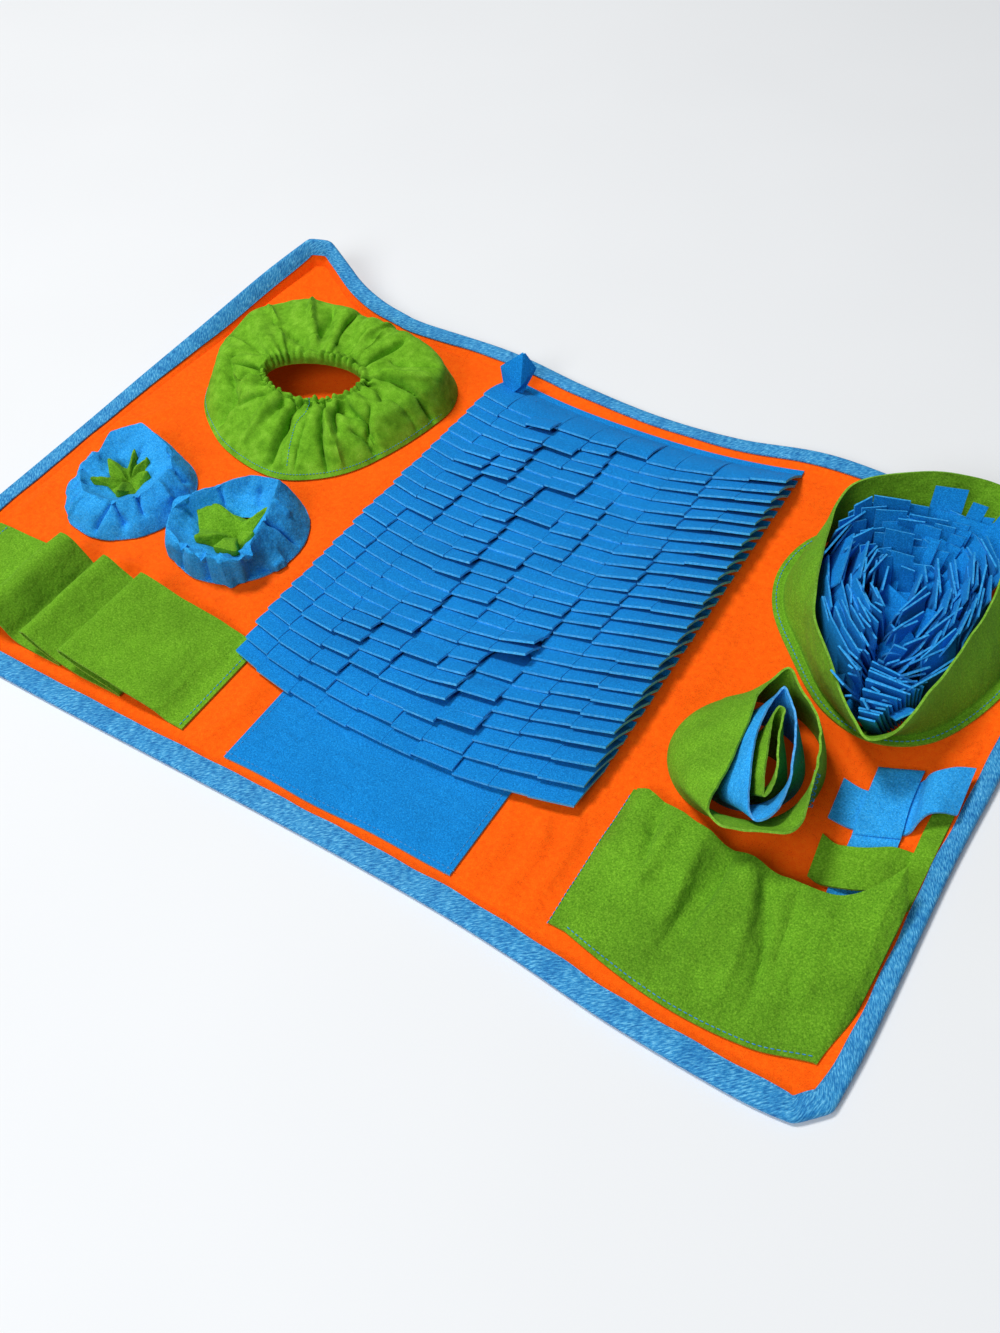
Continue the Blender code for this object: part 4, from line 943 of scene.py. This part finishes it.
def flower_cup(name):
    cup = CUPS[name]
    cx, cy, radius = cup["seam"]
    headings, a = spokes(300)
    ridge_ring = ring_of_corners(cup["ridge"], headings, (cx, cy))
    edge_ring = ring_of_corners(cup["mouth"], headings, (cx, cy)) - (0, 0, CUP_DROP)
    foot = circle(cx, cy, radius, a)
    hem = foot + (ridge_ring - foot) * 0.06 + (0, 0, 0.6)
    wall = foot + (ridge_ring - foot) * 0.45 + (0, 0, 3.0)
    t = np.linspace(0, 1, 11)[1:, None, None]
    outer = through_rows([foot, hem, wall, ridge_ring], 10)
    sag = np.sin(math.pi * t) * np.array((0, 0, -1.2))
    turned_in = ridge_ring + (edge_ring - ridge_ring) * t + sag
    inner = edge_ring + ((*cup["heart"], 0) - edge_ring) * 0.30
    inner[:, 2] = edge_ring[:, 2] - CUP_DROP
    well = np.linspace(0, 1, 9)[1:, None, None]
    grid = np.concatenate([outer, turned_in, edge_ring + (inner - edge_ring) * well])
    free = ease(np.arange(len(grid))[:, None] / 5.0)
    grid = fold_in(grid, cup["folds"], True, CUP_CREASING * free)
    grid = push_out(grid, free * (0.7 * hills(grid, 20.0, 61) + 0.3 * hills(grid, 8.0, 62)), True)
    felt_round = cloth(name + "_felt", grid, (blue_felt, blue_edge_highlight), THIN, ring=True)
    return wears(felt_round, [name])


for cup_name in CUPS:
    flower_cup(cup_name)

# %% [markdown]
# The green heart of a cup is a strip of felt gathered to a point: lobes that stand up, with pleats
# between them that run down into a pit.

# %% Hearts of the cups
# A heart's outline goes round by its points (high) and the valleys between them (low).
HEARTS = {
    "cup_left_heart": ((-277.0, -43.0, 22.0), ((-262, -36, 24), (-270, -34, 12), (-271, -26, 25), (-279, -33, 12),
                                              (-285, -23, 25), (-287, -33, 12), (-298, -37, 21), (-292, -45, 12),
                                              (-294, -58, 22), (-281, -50, 12), (-268, -60, 23), (-268, -46, 12)),
                       (-279.0, -41.0, 9.0)),
    "cup_right_heart": ((-170.0, -48.0, 24.0), ((-150, -47, 21), (-157, -43, 14), (-151, -27, 27), (-166, -39, 15),
                                               (-184, -38, 22), (-200, -43, 22), (-188, -56, 14), (-179, -68, 22),
                                               (-171, -60, 12), (-163, -69, 22), (-147, -66, 23), (-157, -56, 13)),
                       (-166.0, -47.0, 6.0)),
}
HEART_SPREAD = 1.16     # the gathered felt stands a little wider than its outline was traced


def heart(name):
    (cx, cy, radius), lobes, pit = HEARTS[name]
    headings, a = spokes(240)
    high = ring_of_corners(lobes, headings, (cx, cy))
    high[:, :2] = (cx, cy) + (high[:, :2] - (cx, cy)) * HEART_SPREAD
    low = circle(cx, cy, radius, a)
    side = low + (high - low) * 0.35
    side[:, 2] = 9.0
    rows = [low, side, high]
    for share in (0.10, 0.35, 0.6, 0.85, 0.97):
        ring = high + (np.array(pit) - high) * share
        ring[:, 2] = high[:, 2] + (pit[2] - high[:, 2]) * share ** 2.2
        rows.append(ring)
    grid = through_rows(rows, 5)
    grid = push_out(grid, ease(np.arange(len(grid))[:, None] / 12.0) * 0.5 * hills(grid, 9.0, 71), True)
    ruffle = cloth(name + "_felt", grid, (green_felt, green_edge_highlight), 1.0, ring=True, lid=True)
    return wears(ruffle, [name])


for heart_name in HEARTS:
    heart(heart_name)

# %% [markdown]
# The pleated strip is one long felt, sewn down at four lines. Between them it stands up in three
# loops that flop to the left. Its edge line is the section of all three, drawn smooth.

# %% Pleated strip
STRIP_Y, FIRST_LOOP = (-199.0, -117.0), 60
STRIP = (
    (-86, SEWN_Z), (-98, SEWN_Z), (-105, 5.4), (-111, 8.8), (-121, 10.2), (-150, 14.8), (-178, 21.0),
    (-188, 23.2), (-191.5, 22.4),
    (-191, 19.6), (-186, 17.0), (-165, 9.6), (-148, 5.6), (-143, 4.6), (-144, SEWN_Z), (-152, SEWN_Z),
    (-178, SEWN_Z), (-196, 6.4), (-212, 15.2), (-223, 22.6), (-227.5, 22.6), (-227.5, 19.6), (-221, 14.4),
    (-206, 6.8), (-200, 4.9), (-199.5, SEWN_Z), (-206, SEWN_Z), (-232, SEWN_Z), (-243, 6.0), (-249, 14.0),
    (-257, 24.0), (-263, 27.6), (-269, 26.6), (-271, 21.0), (-270, 12.0), (-272, 5.0), (-278, SEWN_Z),
    (-310, SEWN_Z), (-344, SEWN_Z),
)


def closed(line):
    return np.vstack([line, line[:1]])


section = smooth_line(STRIP, steps=9)
section[:, 1] = np.maximum(section[:, 1], SEWN_Z)
ys = np.linspace(*STRIP_Y, 56)
grid = np.zeros((len(ys), len(section), 3))
grid[..., 0], grid[..., 1], grid[..., 2] = section[:, 0], ys[:, None], section[:, 1]
free = ease((grid[..., 2] - SEWN_Z) / 6.0)
sway = free * (0.9 * waves(grid[..., 0] * 0.3, grid[..., 1], 60.0, 81) + 0.35 * hills(grid, 22.0, 82))
grid = push_out(grid, -sway * np.sign(normals_of(grid)[..., 2] + 1e-6))
grid[..., 1] += 0.5 * ripple(grid[..., 0], 30.0, 83) * np.sign(grid[..., 1] - np.mean(STRIP_Y))
valley = bump(grid[..., 0], -112.0, 5.0) * (np.arange(len(section)) < FIRST_LOOP)
grid[..., 2] -= 1.4 * valley * ease((grid[..., 2] - SEWN_Z) / 4.0)
strip_felt = cloth("pleated_strip_felt", grid, (green_felt, green_edge_highlight))
wears(strip_felt, ["pleated_strip"])

# %% [markdown]
# The pot is a wide band of felt sewn into a tube and squeezed long at its rim. Its corners are sharp,
# so the points of the band gather where its outline bends.

# %% Pot wall
POT_FOOT = (
    (356, 100), (350, 60), (330, 20), (298, 3), (262, 12), (228, 42), (199, 76), (188, 112),
    (196, 150), (225, 178), (268, 186), (315, 180), (345, 145),
)
POT_RIM = (
    (305, -30), (316, -13), (322, 23), (327, 68), (328, 112), (321, 165), (305, 205), (270, 205),
    (232, 188), (211, 160), (220, 100), (238, 46), (271, 4), (291, -20),
)
POT_HEIGHT, POT_FLANGE = 47.0, 8.0
STANDS = POT_HEIGHT - SEWN_Z
AXIS_FOOT, AXIS_RIM = np.array((270.0, 92.0)), np.array((272.0, 94.0))


def bent_ring(table, count, corner):
    """Points round a closed table that gather where it bends: corner mm for a full turn."""
    fine = smooth_line(table, True, 24)
    plan = run_along(fine[:, :2])
    step = np.diff(fine[:, :2], axis=0)
    way = np.degrees(np.arctan2(step[:, 1], step[:, 0]))
    turn = np.abs(turn_gap(np.roll(way, -1), way))
    cost = plan + np.concatenate([[0.0], np.cumsum(corner * turn / 360.0)])
    want = np.arange(count) * cost[-1] / count
    ring = np.stack([np.interp(want, cost, column) for column in fine.T], 1)
    return ring, np.interp(want, cost, plan) / plan[-1]


pot_columns = 260
pot_rim, _ = bent_ring(POT_RIM, pot_columns, 260.0)
pot_ways = np.degrees(np.arctan2(pot_rim[:, 1] - AXIS_RIM[1], pot_rim[:, 0] - AXIS_RIM[0]))
pot_foot = at_headings(AXIS_FOOT, POT_FOOT, pot_ways)


def pot_point(turn, size, up):
    """A place on the pot's wall, or on a smaller copy of it."""
    at = (turn % 1.0) * pot_columns
    i = int(at) % pot_columns
    j, share = (i + 1) % pot_columns, at - int(at)
    foot = pot_foot[i] + (pot_foot[j] - pot_foot[i]) * share
    rim_at = pot_rim[i] + (pot_rim[j] - pot_rim[i]) * share
    axis = AXIS_FOOT + (AXIS_RIM - AXIS_FOOT) * up
    wall = foot + (rim_at - foot) * up
    return np.append(axis + (wall - axis) * size, SEWN_Z + STANDS * up)


flange = at_height(pot_foot, SEWN_Z)
root = flange - at_height(unit(pot_foot - AXIS_FOOT) * POT_FLANGE, 0.0)
levels = [flange, (flange + root) / 2, root]
for up in (0.12, 0.32, 0.5, 0.68, 0.85, 1.0):
    level = at_height(pot_foot + (pot_rim - pot_foot) * up, SEWN_Z + STANDS * up)
    levels.append(level + (root - flange) * (1.0 - up))
grid = through_rows(levels, 4)
up = np.clip((grid[..., 2] - SEWN_Z) / STANDS, 0, 1)
swell = np.sin(math.pi * up) * (1.2 + 1.3 * hills(grid, 80.0, 91))
swell += up * 0.8 * hills(grid, 35.0, 92, 1)
grid = push_out(grid, swell, True)
grid[..., 2] += up ** 3 * 0.8 * hills(grid, 60.0, 93)
pot_felt = cloth("pot_wall_felt", grid, (green_felt, green_edge_highlight), ring=True)
wears(pot_felt, ["pot_wall"])

# %% [markdown]
# Inside the pot stand five rings of fringe, one in the other. They come from the same tree as the
# field, with each tab standing along the wall. Loose tabs stand in the pot's narrow front and against
# its right wall, and others fell across its middle.

# %% Loose tabs in the pot
POT_TAB, POT_TAB_LENGTH = (0.8, 6, THIN), 44.0
# x, y, z of the root, heading and tilt in degrees, width and length.
LOOSE_TABS = (
    [(300 - 0.2 * k, 6 + 2.9 * k, 8.0, -86 - k, 62 + 1.2 * k, 10 + 2.2 * k, 41 - 0.7 * k) for k in range(12)] +
    [(303 + 1.0 * k, 65 + 13 * k, 7.0, -3 + 5 * k, 68, 22, 42) for k in range(7)] +
    [(293 + 1.0 * k, 60 + 14 * k, 7.0, -1 + 5 * k, 66, 24, 42) for k in range(6)] +
    [(283 + 0.6 * k, 44 + 15 * k, 7.0, -8 + 6 * k, 60, 24, 41) for k in range(4)] +
    [(262, 66, 8, 68, 38, 26, 42), (270, 92, 13, 74, 32, 28, 42), (280, 120, 20, 82, 24, 30, 36),
     (288, 56, 10, 62, 36, 24, 42), (296, 86, 16, 66, 32, 26, 42), (300, 112, 22, 76, 26, 28, 40),
     (274, 44, 8, 50, 32, 24, 40), (290, 26, 8, 84, 24, 26, 42), (268, 136, 22, 96, 30, 26, 34),
     (300, 146, 26, 100, 22, 28, 32), (306, 60, 18, 96, 34, 22, 36), (284, 8, 12, 70, 20, 22, 34)])


def loose_tabs():
    tabs = []
    for x, y, z, heading_to, tilt, wide, length in LOOSE_TABS:
        h, t = math.radians(heading_to), math.radians(tilt)
        towards = np.array((math.cos(h) * math.cos(t), math.sin(h) * math.cos(t), math.sin(t)))
        tabs.append(((x, y, z), (math.sin(h), -math.cos(h), 0.12 * math.sin(x)), towards, wide, length,
                     (0, 0, 2.0 * math.sin(y)), (0, 0, 1.5 * math.cos(x)), (0, 0, 0)))
    base = [(296, 10, SEWN_Z), (300, 10, SEWN_Z), (300, 60, SEWN_Z), (296, 60, SEWN_Z)]
    fallen = fringe("pot_loose_tabs_cloth", base, [(0, 1, 2, 3)], tabs, pot_edge_dim_highlight, *POT_TAB)
    return wears(fallen, [])

# %% [markdown]
# A ring has two layers of tabs. Each tab is as wide as its share of the ring and leans with the wall,
# and chance sets it off in its place, its width and its curl.

# %% Rings of fringe in the pot
POT_RINGS = (0.86, 0.72, 0.58, 0.44, 0.30)
POT_TABS = (22, 19, 16, 12, 9)
RING_POINTS, POT_REACH, THINNEST_TAB, LAYERS = 120, 85.0, 3.0, (0.0, 0.055)


def pot_fringe(number):
    size, count = POT_RINGS[number], POT_TABS[number]
    shrink = (POT_FLANGE - 1.0) / POT_REACH
    reach, heading = size - shrink, 6.0 / POT_REACH
    turns = np.arange(RING_POINTS) / RING_POINTS
    sewn = np.array([pot_point(t, reach, 0.0) for t in turns])
    points = np.vstack([[pot_point(t, reach - heading, 0.0) for t in turns], sewn])
    faces = [(k, j, j + RING_POINTS, k + RING_POINTS)
             for k, j in zip(range(RING_POINTS), np.roll(range(RING_POINTS), -1).tolist())]
    odd = chance(count, 2, 8, seed=200 + number)
    tabs = []
    for layer, inset in enumerate(LAYERS):
        for k in range(count):
            o = odd[k, layer]
            turn = (k + 0.5 + 0.25 * o[0] + 0.5 * layer) / count + 0.03 * number
            top = 0.90 + 0.13 * o[1]
            half_wide = (0.60 + 0.10 * o[2]) / count
            to_right = min(1.0, max(0.0, (pot_point(turn, reach, 0.0)[0] - AXIS_FOOT[0]) / 40.0))
            root = pot_point(turn, reach - inset - 0.10 * to_right, 0.02)
            tip = pot_point(turn, size - inset - shrink * (1 - top) - 0.05 * abs(o[2]) * (1 - to_right), top)
            left, right = (pot_point(turn + side * half_wide, reach - inset, 0.3) for side in (-1, 1))
            towards = tip - root + np.array((3.5 * o[3], 3.5 * o[4], 0.0))
            wide = float(np.linalg.norm(right - left))
            if wide < THINNEST_TAB:
                continue
            inwards = unit(np.append(AXIS_FOOT, 0.0) - root)
            twist = inwards * 2.0 * o[6] + np.array((0, 0, 2.0 * o[7]))
            tabs.append((root, right - left, towards, wide, float(np.linalg.norm(towards)),
                         inwards * (1.0 + 5.0 * o[5]), twist, (0, 0, 0)))
    ring = fringe(f"pot_fringe_{number + 1}_cloth", points, faces, tabs, pot_edge_dim_highlight, *POT_TAB)
    return wears(ring, [f"pot_fringe_{number + 1}"])


for ring_number in range(len(POT_RINGS)):
    pot_fringe(ring_number)
loose_tabs()

# %% [markdown]
# Three felt bands are rolled one in the other and lean over to the front right. Each wall leaves the
# mat upright and bends over, and its top edge waves.

# %% Nest of rolls
ROLLS = {
    "roll_outer": ((239.0, -46.0, 47.0), "green_felt", (green_felt, green_edge_highlight), (
        (242, -2, 46), (236, -24, 44), (238, -44, 42), (240, -61, 41), (242, -80, 40),
        (243, -98, 40), (246, -113, 41), (256, -120, 43), (266, -119, 45), (278, -115, 47),
        (291, -110, 48), (295, -98, 48), (290, -75, 48), (285, -50, 48), (274, -30, 47), (256, -13, 46))),
    "roll_middle": ((242.0, -49.0, 33.0), "blue_felt", (blue_felt, blue_edge_highlight), (
        (246, -15, 45), (245, -32, 45), (246, -50, 45), (251, -66, 45), (257, -82, 45),
        (262, -96, 44), (267, -105, 44), (274, -108, 45), (280, -100, 46), (280, -88, 46),
        (278, -76, 46), (272, -59, 46), (265, -41, 46), (257, -26, 45))),
    "roll_inner": ((248.0, -56.0, 20.0), "green_felt", (green_felt, green_edge_highlight), (
        (249.5, -29.5, 44), (249.5, -37, 44), (252.5, -49, 44), (259.5, -66, 44), (265, -82, 44),
        (269, -91, 44), (271, -84, 44), (267, -70, 44), (259.5, -50, 44), (255.5, -37, 44), (253.5, -29.5, 44))),
}
ROLL_FOLDS = {"roll_outer": ((228, -70, 244, -100, -1.6, 5.0), (210, -20, 236, -30, 1.4, 6.0),
                             (280, -40, 288, -60, -1.2, 5.0))}


ROLL_POINTS, ROLL_ROWS, ROLL_CORNER, ROLL_LEAN = 170, 26, 80.0, 1.35


def roll(name):
    (cx, cy, radius), slot, looks, table = ROLLS[name]
    rim_ring, share = bent_ring(table, ROLL_POINTS, ROLL_CORNER)
    foot = circle(cx, cy, radius, np.pi / 2 + 2 * np.pi * share)
    up = np.linspace(0, 1, ROLL_ROWS)[:, None]
    lean = (up ** ROLL_LEAN)[..., None] * (1, 1, 0) + up[..., None] * (0, 0, 1)
    grid = foot + (rim_ring - foot) * lean
    if name in ROLL_FOLDS:
        grid = fold_in(grid, ROLL_FOLDS[name], True, ease(up / 0.2))
    loose = 0.55 * hills(grid, 26.0, 101, 1) + 0.35 * ripple(share * 600, 30.0, 102)
    grid = push_out(grid, up * loose, True)
    grid[..., 2] += up ** 4 * 0.9 * ripple(share * 300, 40.0, 103)
    band = cloth(name + "_felt", grid, looks, 1.4 if name == "roll_outer" else 1.3, ring=True)
    return wears(band, [name])


for roll_name in ROLLS:
    roll(roll_name)

# %% [markdown]
# The bellows pocket is a flat felt that stands open at the back. Its right side rises to a crest, and
# a soft valley runs down each side of its middle.

# %% Bellows pocket
# Sections from front to back: y on the left and on the right, how far the panel is lifted, x on the
# left, the crest's x, y and height, and the foot's x and y.
BELLOWS = (
    (-201.0, -202.0, 0.0, 202.0, 352.5, -202.0, 0.3, 354.0, -202.0),
    (-188.0, -190.0, 2.0, 202.0, 353.5, -187.0, 1.5, 355.5, -190.0),
    (-165.0, -168.0, 5.5, 201.0, 355.5, -163.0, 6.0, 359.5, -171.0),
    (-140.0, -146.0, 8.0, 200.5, 353.5, -137.0, 11.0, 360.0, -154.0),
    (-118.0, -124.0, 10.0, 200.5, 351.5, -110.0, 17.0, 360.0, -134.0),
    (-98.0, -106.0, 11.0, 200.0, 352.5, -86.0, 26.0, 360.0, -113.0),
)
# The left side: x off the panel's edge, and the share of the lift. Valleys: where across the panel, how
# deep, and how wide.
LEFT_SIDE = ((-9.5, 0.0), (-7.5, 0.04), (-4.0, 0.28), (-1.5, 0.60))
VALLEYS = ((0.36, 3.2, 0.06), (0.60, 2.6, 0.05))
BELLOWS_FOLDS = (
    (259, -112, 263, -196, -5.5, 6.0), (249, -106, 246, -172, 3.2, 6.5), (276, -112, 297, -198, 2.8, 7.0),
    (288, -116, 310, -196, -3.6, 5.0), (209, -100, 228, -150, -3.0, 5.0), (230, -104, 222, -168, 2.4, 6.0),
    (303, -118, 318, -172, -2.4, 5.0), (255, -206, 282, -202, 1.4, 3.5), (236, -205, 228, -180, -1.2, 3.5),
    (326, -118, 334, -190, 2.0, 7.0), (276, -206, 270, -180, 1.0, 3.0), (336, -204, 322, -160, -1.6, 5.0),
)


def rise_at(x, y):
    """How much higher the mat's surface is near its tape than in its middle."""
    at = np.argmin((rim[:, 0] - x) ** 2 + (rim[:, 1] - y) ** 2)
    plan_in = inward[at, :2] / np.linalg.norm(inward[at, :2])
    past = (np.array((x, y)) - rim[at, :2]) @ plan_in - edge[at, 4] - TAPE_SEAM
    return (EDGE_Z - FLAT_Z + 0.3) * min(max(1.0 - past / TAPE_STEP, 0.0), 1.0)


PANEL = 96     # steps across the front panel
grid = []
for y_left, y_right, lifted, left_x, crest_x, crest_y, high, foot_x, foot_y in smooth_line(BELLOWS, steps=10):
    lifted, high = max(lifted, 0.0), max(high, 0.0)
    open_by = min(lifted / 8.0, 1.0)
    row = [(left_x + x - (2.5 * open_by if n == 2 else 0), y_left, SEWN_Z + lifted * part)
           for n, (x, part) in enumerate(LEFT_SIDE)]
    for share in np.arange(PANEL + 1) / PANEL:
        climb = max(0.0, (share - 0.78) / 0.22) ** 2
        x = left_x + 1.0 + (crest_x - left_x - 1.0) * share
        y = y_left + (y_right - y_left) * share - 12.0 * math.sin(math.pi * share * 0.9)
        y += (crest_y - y) * climb
        dip = sum(deep * math.exp(-((share - at) / across) ** 2) for at, deep, across in VALLEYS)
        top = lifted * (0.70 + 0.45 * math.sin(math.pi * share)) - dip * open_by
        top += (high - top) * climb
        row.append((x, y, SEWN_Z + max(top, rise_at(x, y))))
    half_down = max(high * 0.5, rise_at(foot_x, foot_y) + 0.1)
    half_in = min((foot_x - crest_x) / 2, 2.0)
    crest_at = np.array(row[-1])
    half_at = np.array((foot_x - half_in + 3.5 * min(high / 12.0, 0.6), (crest_y + foot_y) / 2,
                        SEWN_Z + half_down))
    foot_at = np.array((foot_x, foot_y, SEWN_Z + rise_at(foot_x, foot_y)))
    row += [tuple(crest_at + (half_at - crest_at) * t) for t in (0.08, 0.35, 0.7, 1.0)]
    row += [tuple(half_at + (foot_at - half_at) * t) for t in (0.35, 0.7, 1.0)]
    grid.append(row)
grid = np.array(grid)
share = np.linspace(0, 1, len(grid))[:, None]
held = ease((PANEL - 2 - np.arange(grid.shape[1])) / 14.0)[None, :]
lowest = np.minimum(grid[..., 2], SEWN_Z + 2.0)
depth = 1.5 * ease(share / 0.12) * held * (1 - 0.45 * ease((share - 0.8) / 0.2))
grid = fold_in(grid, BELLOWS_FOLDS, False, depth)
grid[..., 2] = np.maximum(grid[..., 2], lowest)
loose = 0.9 * hills(grid, 40.0, 111) + 0.25 * hills(grid, 14.0, 112)
grid[..., 2] += np.maximum(loose, -0.4) * ease(share / 0.15) * held
bellows_felt = cloth("bellows_pocket_felt", grid, (bellows_shaded_green, green_edge_highlight))
wears(bellows_felt, ["bellows_pocket"])

# %% [markdown]
# The weave is four short strips, two each way. One blue strip stands up in an arch at its right end.

# %% Weave
STRIP_POINTS = 14     # points across a strip
OVER = FELT + GAP + 0.2     # how much higher a strip lies where it goes over another
# Each line across a strip: x, y and height of its two ends, in order along the strip.
WEAVE = {
    "weave_blue_across": ("blue_felt", (blue_felt, blue_edge_highlight), (
        (295, -30, 0, 298, -60, 0), (310, -32, 0, 312, -61, 0), (322, -24, 0, 328, -57, 0),
        (335.5, -11, 0.2, 341, -50, 0.2), (339, -8, 7, 344.5, -43, 7), (343, -6, 11, 348, -38, 11),
        (350, 0, 12, 354, -34, 12), (360, 7, 9, 362, -29, 9))),
    "weave_green_across": ("green_felt", (green_felt, green_edge_highlight), (
        (300, -72, 0, 304, -102, 0), (308, -75, 0.4, 311, -104, 0.4), (314, -75.5, OVER, 316.5, -104, OVER),
        (326, -72, 5, 328, -102, 5), (338, -64.5, 4.5, 340, -95.5, 4.5), (344.5, -61, OVER, 347, -91.5, OVER),
        (348.5, -59.5, 0.1, 351, -89.5, 0.1), (354, -58, 0, 355.5, -87.5, 0))),
    "weave_blue_along": ("blue_felt", (blue_felt, blue_edge_highlight), (
        (309.5, -13, 0, 334.5, -3, 0), (310.2, -19, OVER, 334.5, -6.5, OVER),
        (312.5, -45, OVER, 336, -30, OVER), (314.5, -63, OVER, 339.5, -52.5, OVER),
        (315, -68, 0.1, 340, -57, 0.1), (317, -101, 0, 343.5, -97, 0), (317.5, -107, 0, 344, -104, 0))),
    "weave_green_along": ("green_felt", (green_felt, green_edge_highlight), (
        (349, -18, 0, 360.5, -18, 0), (349, -44, 0, 360.5, -44, 0), (349.5, -54, OVER, 360.5, -50, OVER),
        (351, -93, OVER, 361, -90, OVER), (352, -99, OVER, 361, -97, OVER))),
}


def weave_strip(name):
    slot, looks, lines = WEAVE[name]
    ends = [[(ax, ay, SEWN_Z + max(az, rise_at(ax, ay))), (bx, by, SEWN_Z + max(bz, rise_at(bx, by)))]
            for ax, ay, az, bx, by, bz in lines]
    fine = smooth_line(np.array(ends).reshape(len(ends), 6), steps=7).reshape(-1, 2, 3)
    fine[..., 2] = np.maximum(fine[..., 2], SEWN_Z)
    across = np.linspace(0, 1, STRIP_POINTS)[:, None, None]
    grid = fine[None, :, 0] + (fine[None, :, 1] - fine[None, :, 0]) * across
    if normals_of(grid)[..., 2].mean() < 0:
        grid = grid[::-1]
    free = ease((grid[..., 2] - SEWN_Z) / 3.0)
    grid[..., 2] += free * 0.5 * hills(grid, 18.0, 121)
    strip = cloth(name + "_felt", grid, looks)
    return wears(strip, [name])


for strip_name in WEAVE:
    weave_strip(strip_name)

# %% [markdown]
# Machine stitches repeat along every seam. A second Geometry Nodes tree turns a seam line into a
# curve, sets points along it at the stitch's pitch, and lays a short plump thread at each.

# %% Geometry Nodes: stitches
stitch_tree, given, result = new_tree("machine stitches", (
    ("Pitch", "NodeSocketFloat", 0.0032), ("Length", "NodeSocketFloat", 0.0024),
    ("Thickness", "NodeSocketFloat", 0.0007), ("Thread", "NodeSocketMaterial", None)))
add = partial(node, stitch_tree)
curve = add("GeometryNodeMeshToCurve", {"Mesh": given["Geometry"]}, "Curve")
spaced = add("GeometryNodeResampleCurve", {"Curve": curve, "Length": given["Pitch"]}, "Curve", mode="LENGTH")
ball = add("GeometryNodeMeshUVSphere", {"Segments": 6, "Rings": 5, "Radius": 0.5}, "Mesh")
size = add("ShaderNodeCombineXYZ", {"X": given["Thickness"], "Y": given["Thickness"], "Z": given["Length"]})
along = add("FunctionNodeAlignRotationToVector", {"Vector": add("GeometryNodeInputTangent")}, axis="Z")
laid = add("GeometryNodeInstanceOnPoints", {
    "Points": spaced, "Instance": ball, "Rotation": along, "Scale": size}, "Instances")
real = add("GeometryNodeRealizeInstances", {"Geometry": laid}, "Geometry")
dressed = add("GeometryNodeSetMaterial", {"Geometry": real, "Material": given["Thread"]}, "Geometry")
stitch_tree.links.new(dressed, result)
print("machine stitches:", len(stitch_tree.nodes), "nodes")


def stitches(name, lines, pitch=3.2, length=2.4, thickness=0.7):
    """lines: lists of points in millimetres. pitch, length and thickness of a stitch too."""
    points, edges = [], []
    for line in lines:
        first = len(points)
        points += [tuple(p) for p in line]
        edges += [(k, k + 1) for k in range(first, len(points) - 1)]
    seam = run_tree(name, stitch_tree, points, edges=edges, values=(
        ("Pitch", pitch * MM), ("Length", length * MM), ("Thickness", thickness * MM), ("Thread", blue_thread)))
    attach(seam, "root")
    print(name + ":", len(seam.data.polygons), "faces")
    return seam


def raised(line, height=0.95):
    """A copy of a line, lifted onto its cloth."""
    return np.asarray(line, float) + (0.0, 0.0, height)


# %% [markdown]
# Stitches run along rows and columns of the cloth grids, a few millimetres inside each edge.

# %% Seams
patch, strip, pot, bellows = (grids[name] for name in (
    "front_patch_cloth", "pleated_strip_felt", "pot_wall_felt", "bellows_pocket_felt"))
stitches("patch_stitches", [raised(patch[3]), raised(patch[:, 3]), raised(patch[:, -4])], 3.4, 2.3, 0.6)
stitches("strip_stitches", [raised(strip[2:-2, 3]), raised(strip[2:-2, -4])])
stitches("pot_stitches", [closed(raised(pot[3], 1.0))])
stitches("bellows_stitches", [raised(bellows[3, 5:-9], 1.0), raised(bellows[:-4, 0], 1.0)])
ring_lines = [closed(raised(grids[name][2], up)) for name, up in (
    ("cup_left_felt", 1.0), ("cup_right_felt", 1.0), ("gathered_pocket_cloth", 1.2))]
pocket, seam_column = grids["gathered_pocket_cloth"], int(pocket_columns * 292 / 360)
ring_lines.append(pocket[5:44, seam_column] + normals_of(pocket, True)[5:44, seam_column] * 0.9)
stitches("ring_stitches", ring_lines, 2.6, 1.8, 0.5)
stitches("tape_stitches", [closed(grids["binding_tape"][-3] + upward * 0.6)], 3.6, 2.6, 0.6)
zigzag = [(287 + 3.0 * (k % 2) + 0.3 * k, -62 - 1.5 * k, 43.5 - 0.8 * k) for k in range(13)]
stitches("roll_stitches", [zigzag], 1.6, 2.2, 0.9)

# %% [markdown]
# One tab at the back left corner of the field was pressed into a fold and stands up like a tent.

# %% Standing tab
root = ((-84, 188, 6.0), (-77, 183, 6.0), (-69, 189, 6.0))
corners = ((-89.4, 192.8, 24.0), (-68.1, 186.8, 16.0), (-64.7, 205.1, 22.0))
peak = ((-73.3, 201.7, 36.0), (-72.5, 200.6, 36.0), (-71.7, 202.0, 36.0))
levels = [(root, corners, t) for t in np.linspace(0, 0.85, 5)]
levels += [(corners, peak, t) for t in np.linspace(0, 1, 10)]
rows = []
for lower, upper, t in levels:
    ends = np.array(lower) + (np.array(upper, float) - lower) * t
    rows.append([ends[0] + (ends[1] - ends[0]) * v for v in np.linspace(0, 1, 6)] +
                [ends[1] + (ends[2] - ends[1]) * v for v in np.linspace(0, 1, 6)[1:]])
standing_tab = cloth("standing_tab_cloth", np.array(rows), (blue_fleece, fleece_edge_highlight))
wears(standing_tab, [])
